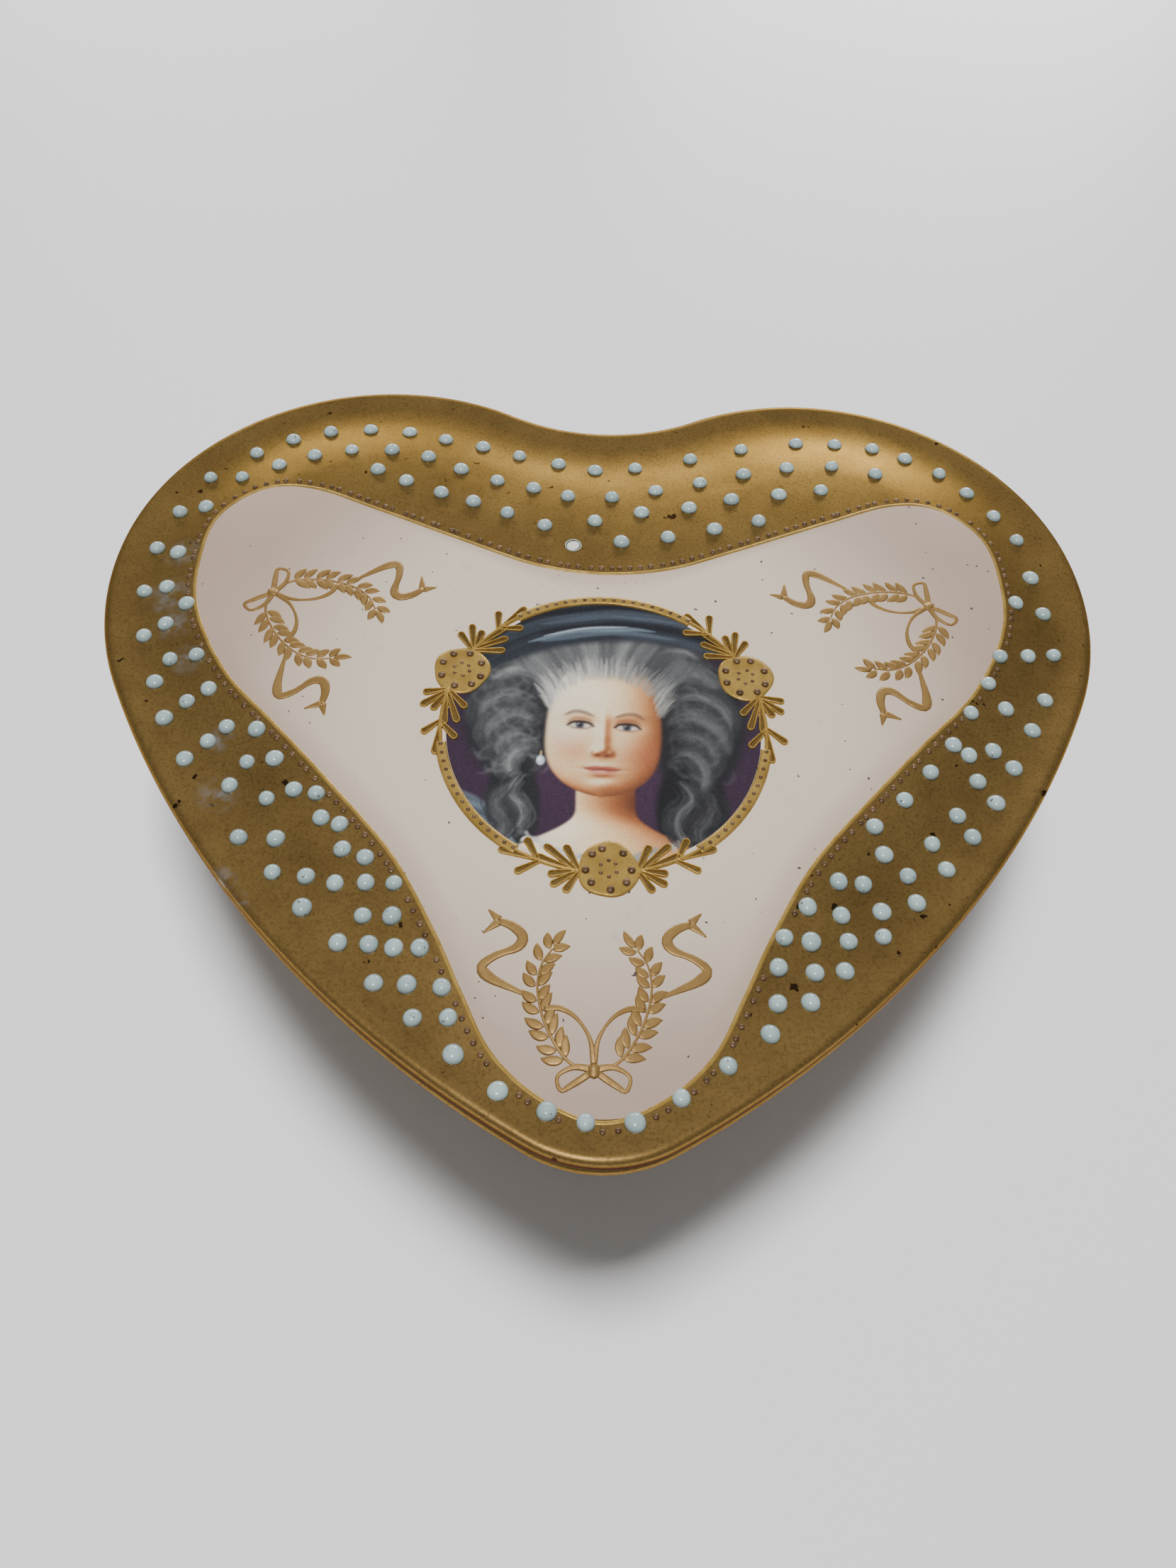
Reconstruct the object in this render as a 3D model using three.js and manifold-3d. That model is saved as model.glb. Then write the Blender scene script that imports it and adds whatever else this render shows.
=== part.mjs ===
// Heart-shaped porcelain trinket box: a footed bowl and a lift-off lid that drops
// into its mouth, with the lid's applied decoration as separate solids.
// Millimetres. +Z is up, +Y runs from the heart's tip to its cleft, and the origin is
// on the table under the middle of the box.
import * as THREE from 'three';
import { mergeVertices } from 'three/addons/utils/BufferGeometryUtils.js';
import Module from 'manifold-3d';

const wasm = await Module();
wasm.setup();

// ---------------------------------------------------------------- driving dimensions

// The heart is a chain of tangent arcs on each side: cleft, lobe, shoulder, side and tip.
const HEART = {
  cleftRadius: 24.1,
  lobeRadius: 30.3,
  lobeX: 25.1,
  lobeY: 17.5,
  shoulderRadius: 34.7,
  shoulderAngle: 0.17,
  sideRadius: 107.9,
  tipRadius: 14.2,
  tipY: -33.6,
};
const STEPS = { cleft: 4, lobe: 11, shoulder: 3, side: 5, tip: 4 };

// An outline this far inside the rim is still made of the arcs. Deeper ones shrink
// towards the middle, which they reach after REACH millimetres more.
const ARC_DEPTH = 13;
const REACH = 34;
const MIDDLE = ARC_DEPTH + REACH;

const FOOT = { outer: 12.3, inner: 15.2, recess: 1.8 };
const FLOOR_TOP = 4.6;
const BASE_RIM = 30.6;
const SEAT_GAP = 0.2;
const LID_SEAT = BASE_RIM + SEAT_GAP;
const LID_EDGE = 32.6;
const FLANGE = { outer: 5.7, inner: 7.9, bottom: 27.2 };

// Applied decoration: how far each layer starts above the lid, and how thick it is.
const PRINT = { lift: 0.1, thick: 0.2 };
const GILT_LINE = { lift: 0.1, thick: 0.25 };
const RELIEF = { lift: 0.4, thick: 0.4 };

const MEDALLION = { x: 0, y: -4.2, radius: 15.9, frameInner: 16.1, frameOuter: 17.3 };
const ROSETTE = { radius: 2.95, button: 0.9, orbit: 16.5, height: 0.8, angles: [24, 156, 271.5] };
const ROSETTE_GAP = 0.3;
const FRAME_STEP_DEGREES = 6;
// Leaf pairs along a sprig: degrees to the first pair and between pairs.
const SPRIG = { pairs: 5, first: 2, pitch: 4.2, length: 3.4, shrink: 0.25, width: 0.75, spread: 0.5 };
const WREATHS = [
  { name: 'left', x: -36.4, y: 12.9, turn: -121 },
  { name: 'right', x: 36.4, y: 13.6, turn: 122 },
  { name: 'bottom', x: -0.8, y: -39.7, turn: 0 },
];
// Half a wreath in its own frame, with the bow at the origin and the opening towards +Y.
const WREATH_STEM = {
  points: [[0.6, 0.2], [2.2, 0.8], [3.7, 2.7], [4.7, 4.9], [5.2, 7.3], [4.9, 9.5], [3.9, 11.1]],
  steps: 9,
  width: 0.3,
};
const WREATH_LEAF = { pairs: 7, first: 1.4, length: 1.9, width: 0.75, spread: 0.62 };
const RIBBONS = [
  {
    points: [[5.2, 6.2], [7.4, 7.3], [9.6, 8.4], [10.2, 9.5], [9, 10.5], [7.1, 11.3], [6.6, 12.2],
      [7.6, 13.3], [9.4, 14.6]],
    steps: 14,
    width: 0.6,
  },
  { points: [[0, 0.4], [0.5, 2.8], [1.6, 4.6], [3.1, 5.5], [5, 5.3]], steps: 6, width: 0.35 },
  { points: [[0, 0], [1.5, 0.75], [2.6, 0.5], [2.5, -0.4], [1.3, -0.3], [0, 0]], steps: 8, width: 0.4 },
];
const KNOT_RADIUS = 0.6;
const BEAD = { radius: 0.95, height: 1.0, spacing: 5.6, depth: 7.4 };

// Half of the tri-lobed reserve, from the middle of its top edge to its foot.
const RESERVE_HALF = [
  [0, 16.5], [7.5, 17.5], [15, 20.5], [26, 25.5], [34, 29], [40, 29], [44.5, 25], [45.5, 18.5],
  [44.5, 11], [40, 2.5], [33.5, -4.5], [27, -11.5], [20.5, -19], [16, -26.5], [13, -32.5],
  [10, -38], [5.5, -42], [0, -44],
];
const EDGING_WIDTH = 1.3;
const EDGING_STATIONS = 96;

// Joining leaves may leave slivers. Edges shorter than this are closed up.
const SHORTEST_EDGE = 0.02;

// ---------------------------------------------------------------- materials

const PORCELAIN = new THREE.MeshStandardMaterial({ color: 0xe9dcd6, roughness: 0.25, metalness: 0 });
const GILDING = new THREE.MeshStandardMaterial({ color: 0xa9772a, roughness: 0.35, metalness: 0.9 });
const TRANSFER = new THREE.MeshStandardMaterial({ color: 0x5b4a5e, roughness: 0.3, metalness: 0 });
const ENAMEL = new THREE.MeshStandardMaterial({ color: 0xa9c3c9, roughness: 0.3, metalness: 0 });

// ---------------------------------------------------------------- the heart outline

// The right half of the outline as arcs, from the tip up to the cleft, anticlockwise.
function heartArcs(h) {
  const lobe = new THREE.Vector2(h.lobeX, h.lobeY);
  const along = new THREE.Vector2(Math.cos(h.shoulderAngle), Math.sin(h.shoulderAngle));
  const shoulder = lobe.clone().addScaledVector(along, h.lobeRadius - h.shoulderRadius);
  const tip = new THREE.Vector2(0, h.tipY);
  const reach = h.cleftRadius + h.lobeRadius;
  const cleft = new THREE.Vector2(0, h.lobeY + Math.sqrt(reach ** 2 - h.lobeX ** 2));
  const side = leftCrossing(shoulder, h.sideRadius - h.shoulderRadius, tip, h.sideRadius - h.tipRadius);
  const toTip = tip.clone().sub(side).angle() - 2 * Math.PI;
  const toShoulder = shoulder.clone().sub(side).angle() - 2 * Math.PI;
  const toLobe = Math.atan2(lobe.y - cleft.y, lobe.x);
  return [
    { centre: tip, radius: h.tipRadius, inward: -1, from: -Math.PI / 2, to: toTip, steps: STEPS.tip },
    { centre: side, radius: h.sideRadius, inward: -1, from: toTip, to: toShoulder, steps: STEPS.side },
    { centre: shoulder, radius: h.shoulderRadius, inward: -1, from: toShoulder, to: h.shoulderAngle,
      steps: STEPS.shoulder },
    { centre: lobe, radius: h.lobeRadius, inward: -1, from: h.shoulderAngle, to: toLobe + Math.PI,
      steps: STEPS.lobe },
    { centre: cleft, radius: h.cleftRadius, inward: 1, from: toLobe, to: -Math.PI / 2, steps: STEPS.cleft },
  ];
}

// The crossing, on the left, of a circle round a with one round b.
function leftCrossing(a, radiusA, b, radiusB) {
  const gap = b.clone().sub(a);
  const length = gap.length();
  const foot = (radiusA ** 2 - radiusB ** 2 + length ** 2) / (2 * length);
  const rise = Math.sqrt(radiusA ** 2 - foot ** 2);
  const unit = gap.divideScalar(length);
  const base = a.clone().addScaledVector(unit, foot);
  const first = base.clone().add(new THREE.Vector2(unit.y, -unit.x).multiplyScalar(rise));
  const second = base.clone().add(new THREE.Vector2(-unit.y, unit.x).multiplyScalar(rise));
  return first.x < second.x ? first : second;
}

const ARCS = heartArcs(HEART);

// The outline's points at a given depth inside the rim, anticlockwise from the tip.
function heartRing(depth) {
  const arcDepth = Math.min(depth, ARC_DEPTH);
  const right = [];
  for (const arc of ARCS) {
    const radius = arc.radius + arc.inward * arcDepth;
    for (let i = 0; i < arc.steps; i += 1) {
      const angle = arc.from + ((arc.to - arc.from) * i) / arc.steps;
      right.push([arc.centre.x + radius * Math.cos(angle), arc.centre.y + radius * Math.sin(angle)]);
    }
  }
  const last = ARCS[ARCS.length - 1];
  const cleftPoint = [0, last.centre.y - last.radius - arcDepth];
  const left = right.slice(1).reverse().map(([x, y]) => [-x, y]);
  const shrink = 1 - Math.max(0, depth - ARC_DEPTH) / REACH;
  return [...right, cleftPoint, ...left].map(([x, y]) => [x * shrink, y * shrink]);
}

// ---------------------------------------------------------------- solids

function closedGeometry(positions, indices) {
  const geometry = new THREE.BufferGeometry();
  geometry.setAttribute('position', new THREE.Float32BufferAttribute(positions, 3));
  geometry.setIndex(indices);
  return geometry;
}

// A solid of heart-shaped section. The profile runs [depth, z] from the middle of the
// underside, out round the edge, and back to the middle of the top.
function heartSolid(profile) {
  const rings = profile.slice(1, -1).map(([depth, z]) => heartRing(depth).map(([x, y]) => [x, y, z]));
  const count = rings[0].length;
  const positions = rings.flat(2);
  const bottomPole = rings.length * count;
  const topPole = bottomPole + 1;
  positions.push(0, 0, profile[0][1], 0, 0, profile[profile.length - 1][1]);
  const indices = [];
  for (let i = 0; i < count; i += 1) {
    const next = (i + 1) % count;
    indices.push(bottomPole, next, i);
    for (let r = 0; r < rings.length - 1; r += 1) {
      const low = r * count;
      const high = low + count;
      indices.push(low + i, low + next, high + next, low + i, high + next, high + i);
    }
    const top = (rings.length - 1) * count;
    indices.push(topPole, top + i, top + next);
  }
  return closedGeometry(positions, indices);
}

function toManifold(geometry) {
  const bare = geometry.clone();
  bare.deleteAttribute('normal');
  bare.deleteAttribute('uv');
  const merged = mergeVertices(bare, 1e-4);
  return new wasm.Manifold(new wasm.Mesh({
    numProp: 3,
    vertProperties: Float32Array.from(merged.attributes.position.array),
    triVerts: Uint32Array.from(merged.index.array),
  }));
}

function fromManifold(solid) {
  const mesh = solid.getMesh();
  return closedGeometry(Array.from(mesh.vertProperties), Array.from(mesh.triVerts));
}

function join(geometries) {
  const solids = geometries.map(toManifold);
  const whole = solids.reduce((sum, solid) => sum.add(solid));
  return fromManifold(whole.simplify(SHORTEST_EDGE));
}

function prism(shape, thick, curveSegments = 4) {
  return new THREE.ExtrudeGeometry(shape, { depth: thick, bevelEnabled: false, curveSegments });
}

// A flat strip of even width along an open run of points.
function strip(points, width, thick) {
  const edge = (across) => points.map((point, i) => {
    const before = points[Math.max(0, i - 1)];
    const after = points[Math.min(points.length - 1, i + 1)];
    const normal = new THREE.Vector2(before.y - after.y, after.x - before.x).normalize();
    return point.clone().addScaledVector(normal, across);
  });
  return prism(new THREE.Shape([...edge(width / 2), ...edge(-width / 2).reverse()]), thick);
}

// A pointed leaf from (x, y) along an angle in radians.
function leaf(x, y, angle, length, width, thick) {
  const shape = new THREE.Shape();
  shape.moveTo(0, 0);
  shape.quadraticCurveTo(length * 0.5, width, length, 0);
  shape.quadraticCurveTo(length * 0.5, -width, 0, 0);
  const geometry = prism(shape, thick, 2);
  geometry.rotateZ(angle);
  geometry.translate(x, y, 0);
  return geometry;
}

// ---------------------------------------------------------------- the two fired pieces

// Both profiles are [depth inside the rim, z].
function baseProfile() {
  const { outer, inner, recess } = FOOT;
  const foot = [[MIDDLE, recess], [inner + 0.6, recess], [inner, 0], [outer + 0.5, 0], [outer, 0.9]];
  const wall = [[outer + 0.2, 2.6], [10.2, 6.4], [7.6, 12], [5.2, 19], [3.1, 26]];
  const rim = [[1.6, 28.6], [0.2, 29.4], [0, 30], [0.5, BASE_RIM], [4.6, BASE_RIM], [5, 30.1]];
  const inside = [[5.1, 26.4], [7.6, 19], [10.2, 12], [12.8, 7.2], [15.5, FLOOR_TOP], [MIDDLE, FLOOR_TOP]];
  return [...foot, ...wall, ...rim, ...inside];
}

function lidProfile() {
  const e = LID_EDGE;
  const { outer, inner, bottom } = FLANGE;
  const underside = [[MIDDLE, e + 0.3], [22, e - 0.1], [11, e - 1.1], [inner + 0.5, e - 1.6]];
  const flange = [[inner, bottom], [outer + 0.2, bottom], [outer, LID_SEAT]];
  const edge = [[1, LID_SEAT], [0.25, e - 1.1], [0, e - 0.3], [0.15, e + 0.4]];
  const lip = [[0.6, e + 0.8], [1.4, e + 0.95], [2.6, e + 0.75], [4.6, e + 0.45]];
  const shoulder = [[6.6, e + 0.8], [9, e + 1.5], [12, e + 2.1]];
  const crown = [[16, e + 2.55], [24, e + 3], [34, e + 3.2], [MIDDLE, e + 3.3]];
  return [...underside, ...flange, ...edge, ...lip, ...shoulder, ...crown];
}

const baseGeometry = heartSolid(baseProfile());
const lidGeometry = heartSolid(lidProfile());

// ---------------------------------------------------------------- on the lid's surface

const lidProbe = new THREE.Mesh(lidGeometry, new THREE.MeshBasicMaterial({ side: THREE.DoubleSide }));
const probe = new THREE.Raycaster();
const DOWN = new THREE.Vector3(0, 0, -1);

// Height of the lid's upper surface over the table at (x, y).
function lidTop(x, y) {
  probe.set(new THREE.Vector3(x, y, LID_EDGE + 50), DOWN);
  return probe.intersectObject(lidProbe)[0].point.z;
}

// Bends a flat solid, standing on z = 0, to the lid's surface.
function layOnLid(geometry, lift) {
  const position = geometry.attributes.position;
  const heights = new Map();
  for (let i = 0; i < position.count; i += 1) {
    const x = position.getX(i);
    const y = position.getY(i);
    const key = `${x.toFixed(3)},${y.toFixed(3)}`;
    if (!heights.has(key)) {
      heights.set(key, lidTop(x, y));
    }
    position.setZ(i, position.getZ(i) + lift + heights.get(key));
  }
  return geometry;
}

function onOrbit(radius, degrees) {
  const angle = THREE.MathUtils.degToRad(degrees);
  return new THREE.Vector2(MEDALLION.x + radius * Math.cos(angle), MEDALLION.y + radius * Math.sin(angle));
}

// The printed portrait: a thin round transfer.
function portraitMedallion() {
  const disc = new THREE.CylinderGeometry(MEDALLION.radius, MEDALLION.radius, PRINT.thick, 48, 1);
  disc.rotateX(Math.PI / 2);
  disc.translate(MEDALLION.x, MEDALLION.y, PRINT.thick / 2);
  return layOnLid(disc, PRINT.lift);
}

// A rosette: a low round boss with a raised button at its middle.
function rosette(degrees) {
  const { radius: r, button, height: h } = ROSETTE;
  const top = h * 0.6;
  const profile = [[0, 0], [r, 0], [r, h * 0.4], [r * 0.85, top], [button + 0.4, top], [button, h], [0, h]];
  const boss = new THREE.LatheGeometry(profile.map(([x, y]) => new THREE.Vector2(x, y)), 20);
  boss.rotateX(Math.PI / 2);
  const place = onOrbit(ROSETTE.orbit, degrees);
  boss.translate(place.x, place.y, 0);
  return layOnLid(fromManifold(toManifold(boss)), RELIEF.lift);
}

// The laurel sprig that grows along the frame from one end of an arc.
function sprig(fromDegrees, side) {
  const leaves = [];
  const orbit = (MEDALLION.frameInner + MEDALLION.frameOuter) / 2;
  for (let i = 0; i < SPRIG.pairs; i += 1) {
    const degrees = fromDegrees + side * (SPRIG.first + SPRIG.pitch * i);
    const root = onOrbit(orbit, degrees);
    const heading = THREE.MathUtils.degToRad(degrees + side * 90);
    const length = SPRIG.length - SPRIG.shrink * i;
    for (const spread of [-SPRIG.spread, SPRIG.spread]) {
      leaves.push(leaf(root.x, root.y, heading + spread, length, SPRIG.width, RELIEF.thick));
    }
  }
  return leaves;
}

// One third of the raised frame, with the sprigs at its two ends.
function frameArc(fromDegrees, toDegrees) {
  const clear = THREE.MathUtils.radToDeg((ROSETTE.radius + ROSETTE_GAP) / ROSETTE.orbit);
  const start = fromDegrees + clear;
  const end = toDegrees - clear;
  const steps = Math.round((end - start) / FRAME_STEP_DEGREES);
  const width = MEDALLION.frameOuter - MEDALLION.frameInner;
  const middle = MEDALLION.frameInner + width / 2;
  const pitch = (end - start) / steps;
  const points = Array.from({ length: steps + 1 }, (_, i) => onOrbit(middle, start + pitch * i));
  const pieces = [strip(points, width, RELIEF.thick), ...sprig(start, 1), ...sprig(end, -1)];
  return layOnLid(join(pieces), RELIEF.lift);
}

// ---------------------------------------------------------------- the gilt wreaths

function spline(points, steps) {
  const curve = new THREE.SplineCurve(points.map(([x, y]) => new THREE.Vector2(x, y)));
  return curve.getPoints(steps);
}

function wreathHalf(side, thick) {
  const mirrored = (points) => points.map(([x, y]) => [side * x, y]);
  const stem = spline(mirrored(WREATH_STEM.points), WREATH_STEM.steps);
  const pieces = [strip(stem, WREATH_STEM.width, thick)];
  for (let i = 0; i < WREATH_LEAF.pairs; i += 1) {
    const at = WREATH_LEAF.first + i;
    const before = stem[Math.floor(at)];
    const after = stem[Math.floor(at) + 1];
    const root = before.clone().lerp(after, at % 1);
    const ahead = after.clone().sub(before).angle();
    for (const spread of [-WREATH_LEAF.spread, WREATH_LEAF.spread]) {
      pieces.push(leaf(root.x, root.y, ahead + spread, WREATH_LEAF.length, WREATH_LEAF.width, thick));
    }
  }
  for (const ribbon of RIBBONS) {
    pieces.push(strip(spline(mirrored(ribbon.points), ribbon.steps), ribbon.width, thick));
  }
  return pieces;
}

function wreath(place) {
  const knot = new THREE.CylinderGeometry(KNOT_RADIUS, KNOT_RADIUS, GILT_LINE.thick, 8);
  knot.rotateX(Math.PI / 2);
  knot.translate(0, 0, GILT_LINE.thick / 2);
  const whole = join([knot, ...wreathHalf(1, GILT_LINE.thick), ...wreathHalf(-1, GILT_LINE.thick)]);
  whole.rotateZ(THREE.MathUtils.degToRad(place.turn));
  whole.translate(place.x, place.y, 0);
  return layOnLid(whole, GILT_LINE.lift);
}

// ---------------------------------------------------------------- the border

// The raised gilt line round the reserve, a closed band of rectangular section.
function reserveEdging() {
  const left = RESERVE_HALF.slice(1, -1).reverse().map(([x, y]) => [-x, y]);
  const outline = [...RESERVE_HALF, ...left].map(([x, y]) => new THREE.Vector3(x, y, 0));
  const curve = new THREE.CatmullRomCurve3(outline, true);
  const { thick } = GILT_LINE;
  const section = [[0, 0], [EDGING_WIDTH, 0], [EDGING_WIDTH, thick], [0, thick]];
  const positions = [];
  const indices = [];
  for (let i = 0; i < EDGING_STATIONS; i += 1) {
    const point = curve.getPointAt(i / EDGING_STATIONS);
    const along = curve.getTangentAt(i / EDGING_STATIONS);
    const outward = new THREE.Vector2(-along.y, along.x);
    for (const [across, z] of section) {
      positions.push(point.x + outward.x * across, point.y + outward.y * across, z);
    }
    const here = i * section.length;
    const there = ((i + 1) % EDGING_STATIONS) * section.length;
    for (let k = 0; k < section.length; k += 1) {
      const next = (k + 1) % section.length;
      indices.push(here + k, there + next, there + k, here + k, here + next, there + next);
    }
  }
  return layOnLid(closedGeometry(positions, indices), GILT_LINE.lift);
}

// Places for the outer row of enamel beads over the two lobes, from the right widest
// point over the cleft to the left one, evenly spaced.
function upperRowPlaces() {
  const ring = heartRing(BEAD.depth).map(([x, y]) => new THREE.Vector3(x, y, 0));
  const upper = ring.filter((point) => point.y > HEART.lobeY - 2);
  const curve = new THREE.CatmullRomCurve3(upper);
  const count = Math.round(curve.getLength() / BEAD.spacing);
  return Array.from({ length: count + 1 }, (_, i) => curve.getPointAt(i / count));
}

function bead(place) {
  const profile = [[0, 0], [1, 0], [0.96, 0.4], [0.62, 0.85], [0, 1]];
  const points = profile.map(([r, z]) => new THREE.Vector2(r * BEAD.radius, z * BEAD.height));
  const dome = new THREE.LatheGeometry(points, 8);
  dome.rotateX(Math.PI / 2);
  dome.translate(place.x, place.y, lidTop(place.x, place.y) + RELIEF.lift);
  return fromManifold(toManifold(dome));
}

// ---------------------------------------------------------------- the box

const box = new THREE.Group();
const baseBody = new THREE.Group();
const lidBody = new THREE.Group();
box.add(baseBody, lidBody);

function addPiece(body, name, geometry, material) {
  const mesh = new THREE.Mesh(geometry, material);
  mesh.name = name;
  body.add(mesh);
}

addPiece(baseBody, 'base_shell', baseGeometry, PORCELAIN);
addPiece(lidBody, 'lid_shell', lidGeometry, PORCELAIN);
addPiece(lidBody, 'portrait_medallion', portraitMedallion(), TRANSFER);
addPiece(lidBody, 'reserve_edging', reserveEdging(), GILDING);

const [rightAngle, leftAngle, bottomAngle] = ROSETTE.angles;
addPiece(lidBody, 'rosette_right', rosette(rightAngle), GILDING);
addPiece(lidBody, 'rosette_left', rosette(leftAngle), GILDING);
addPiece(lidBody, 'rosette_bottom', rosette(bottomAngle), GILDING);
addPiece(lidBody, 'frame_arc_top', frameArc(rightAngle, leftAngle), GILDING);
addPiece(lidBody, 'frame_arc_left', frameArc(leftAngle, bottomAngle), GILDING);
addPiece(lidBody, 'frame_arc_right', frameArc(bottomAngle, rightAngle + 360), GILDING);
for (const place of WREATHS) {
  addPiece(lidBody, `wreath_${place.name}`, wreath(place), GILDING);
}
upperRowPlaces().forEach((place, i) => {
  addPiece(lidBody, `enamel_bead_${String(i + 1).padStart(2, '0')}`, bead(place), ENAMEL);
});

export default box;
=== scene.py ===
import math

import bpy
import numpy as np
from mathutils import Matrix, Vector

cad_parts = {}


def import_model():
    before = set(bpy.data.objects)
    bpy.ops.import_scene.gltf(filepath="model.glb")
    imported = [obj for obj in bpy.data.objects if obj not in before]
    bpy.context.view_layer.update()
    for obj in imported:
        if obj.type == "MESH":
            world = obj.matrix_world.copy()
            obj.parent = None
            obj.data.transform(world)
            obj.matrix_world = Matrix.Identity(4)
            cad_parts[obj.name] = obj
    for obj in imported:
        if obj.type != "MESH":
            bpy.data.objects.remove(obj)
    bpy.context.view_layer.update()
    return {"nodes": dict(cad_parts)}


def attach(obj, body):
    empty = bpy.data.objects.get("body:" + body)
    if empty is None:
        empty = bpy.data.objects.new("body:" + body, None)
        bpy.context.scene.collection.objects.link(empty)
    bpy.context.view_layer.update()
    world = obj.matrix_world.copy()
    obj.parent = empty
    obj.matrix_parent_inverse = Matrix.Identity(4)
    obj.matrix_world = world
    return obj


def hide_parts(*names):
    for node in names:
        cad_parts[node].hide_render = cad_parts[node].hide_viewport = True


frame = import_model()

MM = 0.001
rng = np.random.default_rng(11)

# ---------------------------------------------------------------- the heart, as in the CAD

CLEFT_RADIUS = 24.1
LOBE_RADIUS = 30.3
LOBE = np.array([25.1, 17.5])
SHOULDER_RADIUS = 34.7
SHOULDER_ANGLE = 0.17
SIDE_RADIUS = 107.9
TIP_RADIUS = 14.2
TIP = np.array([0.0, -33.6])
ARC_DEPTH = 13.0
REACH = 34.0
MIDDLE = ARC_DEPTH + REACH
LID_EDGE = 32.6
BASE_RIM = 30.6
RING_POINTS = 600
RESERVE_POINTS = 900
SMOOTHING_PASSES = 3
LINE_POINTS = 7

MEDALLION = np.array([0.0, -4.2])
PORTRAIT_RADIUS = 16.15
BAND_ORBIT = 16.75
ROSETTE_ORBIT = 16.4
ROSETTE_ANGLES = {"right": 24.0, "left": 156.0, "bottom": 271.5}
SPRIG_SWEEP = 34.0

RESERVE_HALF = [
    (0, 16.5), (7.5, 17.5), (15, 20.5), (26, 25.5), (34, 29), (40, 29), (44.5, 25), (45.5, 18.5),
    (44.5, 11), (40, 2.5), (33.5, -4.5), (27, -11.5), (20.5, -19), (16, -26.5), (13, -32.5),
    (10, -38), (5.5, -42), (0, -44),
]


def facing(angle):
    """The plan direction at an angle, or one for each of several angles."""
    return np.stack([np.cos(angle), np.sin(angle)], -1)


def left_crossing(a, radius_a, b, radius_b):
    """The crossing, on the left, of a circle round a with one round b."""
    gap = b - a
    length = np.hypot(*gap)
    foot = (radius_a**2 - radius_b**2 + length**2) / (2 * length)
    rise = math.sqrt(radius_a**2 - foot**2)
    unit = gap / length
    turned = np.array([unit[1], -unit[0]])
    both = [a + foot * unit + rise * turned, a + foot * unit - rise * turned]
    return min(both, key=lambda p: p[0])


def heart_arcs():
    """The right half as (centre, radius, inward sign, first angle, last angle), cleft to tip."""
    shoulder = LOBE + (LOBE_RADIUS - SHOULDER_RADIUS) * facing(SHOULDER_ANGLE)
    rise = math.sqrt((CLEFT_RADIUS + LOBE_RADIUS) ** 2 - LOBE[0] ** 2)
    cleft = np.array([0.0, LOBE[1] + rise])
    side = left_crossing(shoulder, SIDE_RADIUS - SHOULDER_RADIUS, TIP, SIDE_RADIUS - TIP_RADIUS)
    to_lobe = math.atan2(LOBE[1] - cleft[1], LOBE[0])
    to_shoulder = math.atan2(shoulder[1] - side[1], shoulder[0] - side[0])
    to_tip = math.atan2(TIP[1] - side[1], TIP[0] - side[0])
    return [
        (cleft, CLEFT_RADIUS, 1, -math.pi / 2, to_lobe),
        (LOBE, LOBE_RADIUS, -1, to_lobe + math.pi, SHOULDER_ANGLE),
        (shoulder, SHOULDER_RADIUS, -1, SHOULDER_ANGLE, to_shoulder),
        (side, SIDE_RADIUS, -1, to_shoulder, to_tip),
        (TIP, TIP_RADIUS, -1, to_tip, -math.pi / 2),
    ]


ARCS = heart_arcs()
ARC_LENGTHS = [radius * abs(last - first) for _, radius, _, first, last in ARCS]
HALF_RIM = sum(ARC_LENGTHS)


def rim_point(s, depth):
    """The point at distance s along the right half of the rim from the cleft, this deep inside it."""
    for (centre, radius, inward, first, last), length in zip(ARCS, ARC_LENGTHS):
        if s <= length + 1e-6:
            angle = first + (last - first) * s / length
            return centre + (radius + inward * depth) * facing(angle)
        s -= length
    return rim_point(HALF_RIM, depth)


def heart_ring(depth):
    """The outline this deep inside the rim, anticlockwise from the tip."""
    half = RING_POINTS // 2
    near = min(depth, ARC_DEPTH)
    right = np.array([rim_point(HALF_RIM * i / half, near) for i in range(half + 1)])
    whole = np.vstack([right[::-1], right[1:-1] * [-1, 1]])
    return whole * (1 - max(0.0, depth - ARC_DEPTH) / REACH)


def ring_rows(rows):
    """Rings round the heart at the depths and heights of a section's rows."""
    return [np.column_stack([heart_ring(depth), np.full(RING_POINTS, z)]) for depth, z, _ in rows]


def depth_at(points):
    """How deep inside the rim plan points are."""
    points = np.atleast_2d(points)
    folded = np.abs(points[:, :1]) * [1, 0] + points[:, 1:] * [0, 1]
    depth = np.full(len(points), 1e9)
    for centre, radius, inward, first, last in ARCS:
        arm = folded - centre
        angle = np.arctan2(arm[:, 1], arm[:, 0])
        inside = (angle >= min(first, last) - 1e-3) & (angle <= max(first, last) + 1e-3)
        here = inward * (np.hypot(arm[:, 0], arm[:, 1]) - radius)
        depth = np.where(inside & (here > -2), np.minimum(depth, here), depth)
    polar = np.arctan2(points[:, 1], points[:, 0])
    deep = ARC_DEPTH + REACH * (1 - np.hypot(points[:, 0], points[:, 1]) / DEEP_RADIUS(polar))
    return np.where(deep > ARC_DEPTH, deep, depth)


def radius_by_angle(outline):
    """A function giving a closed outline's distance from the origin by polar angle."""
    angle = np.arctan2(outline[:, 1], outline[:, 0])
    order = np.argsort(angle)
    radius = np.hypot(outline[:, 0], outline[:, 1])[order]
    return lambda a: np.interp(a, angle[order], radius, period=2 * math.pi)


DEEP_RADIUS = radius_by_angle(heart_ring(ARC_DEPTH))

# ---------------------------------------------------------------- curves


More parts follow.
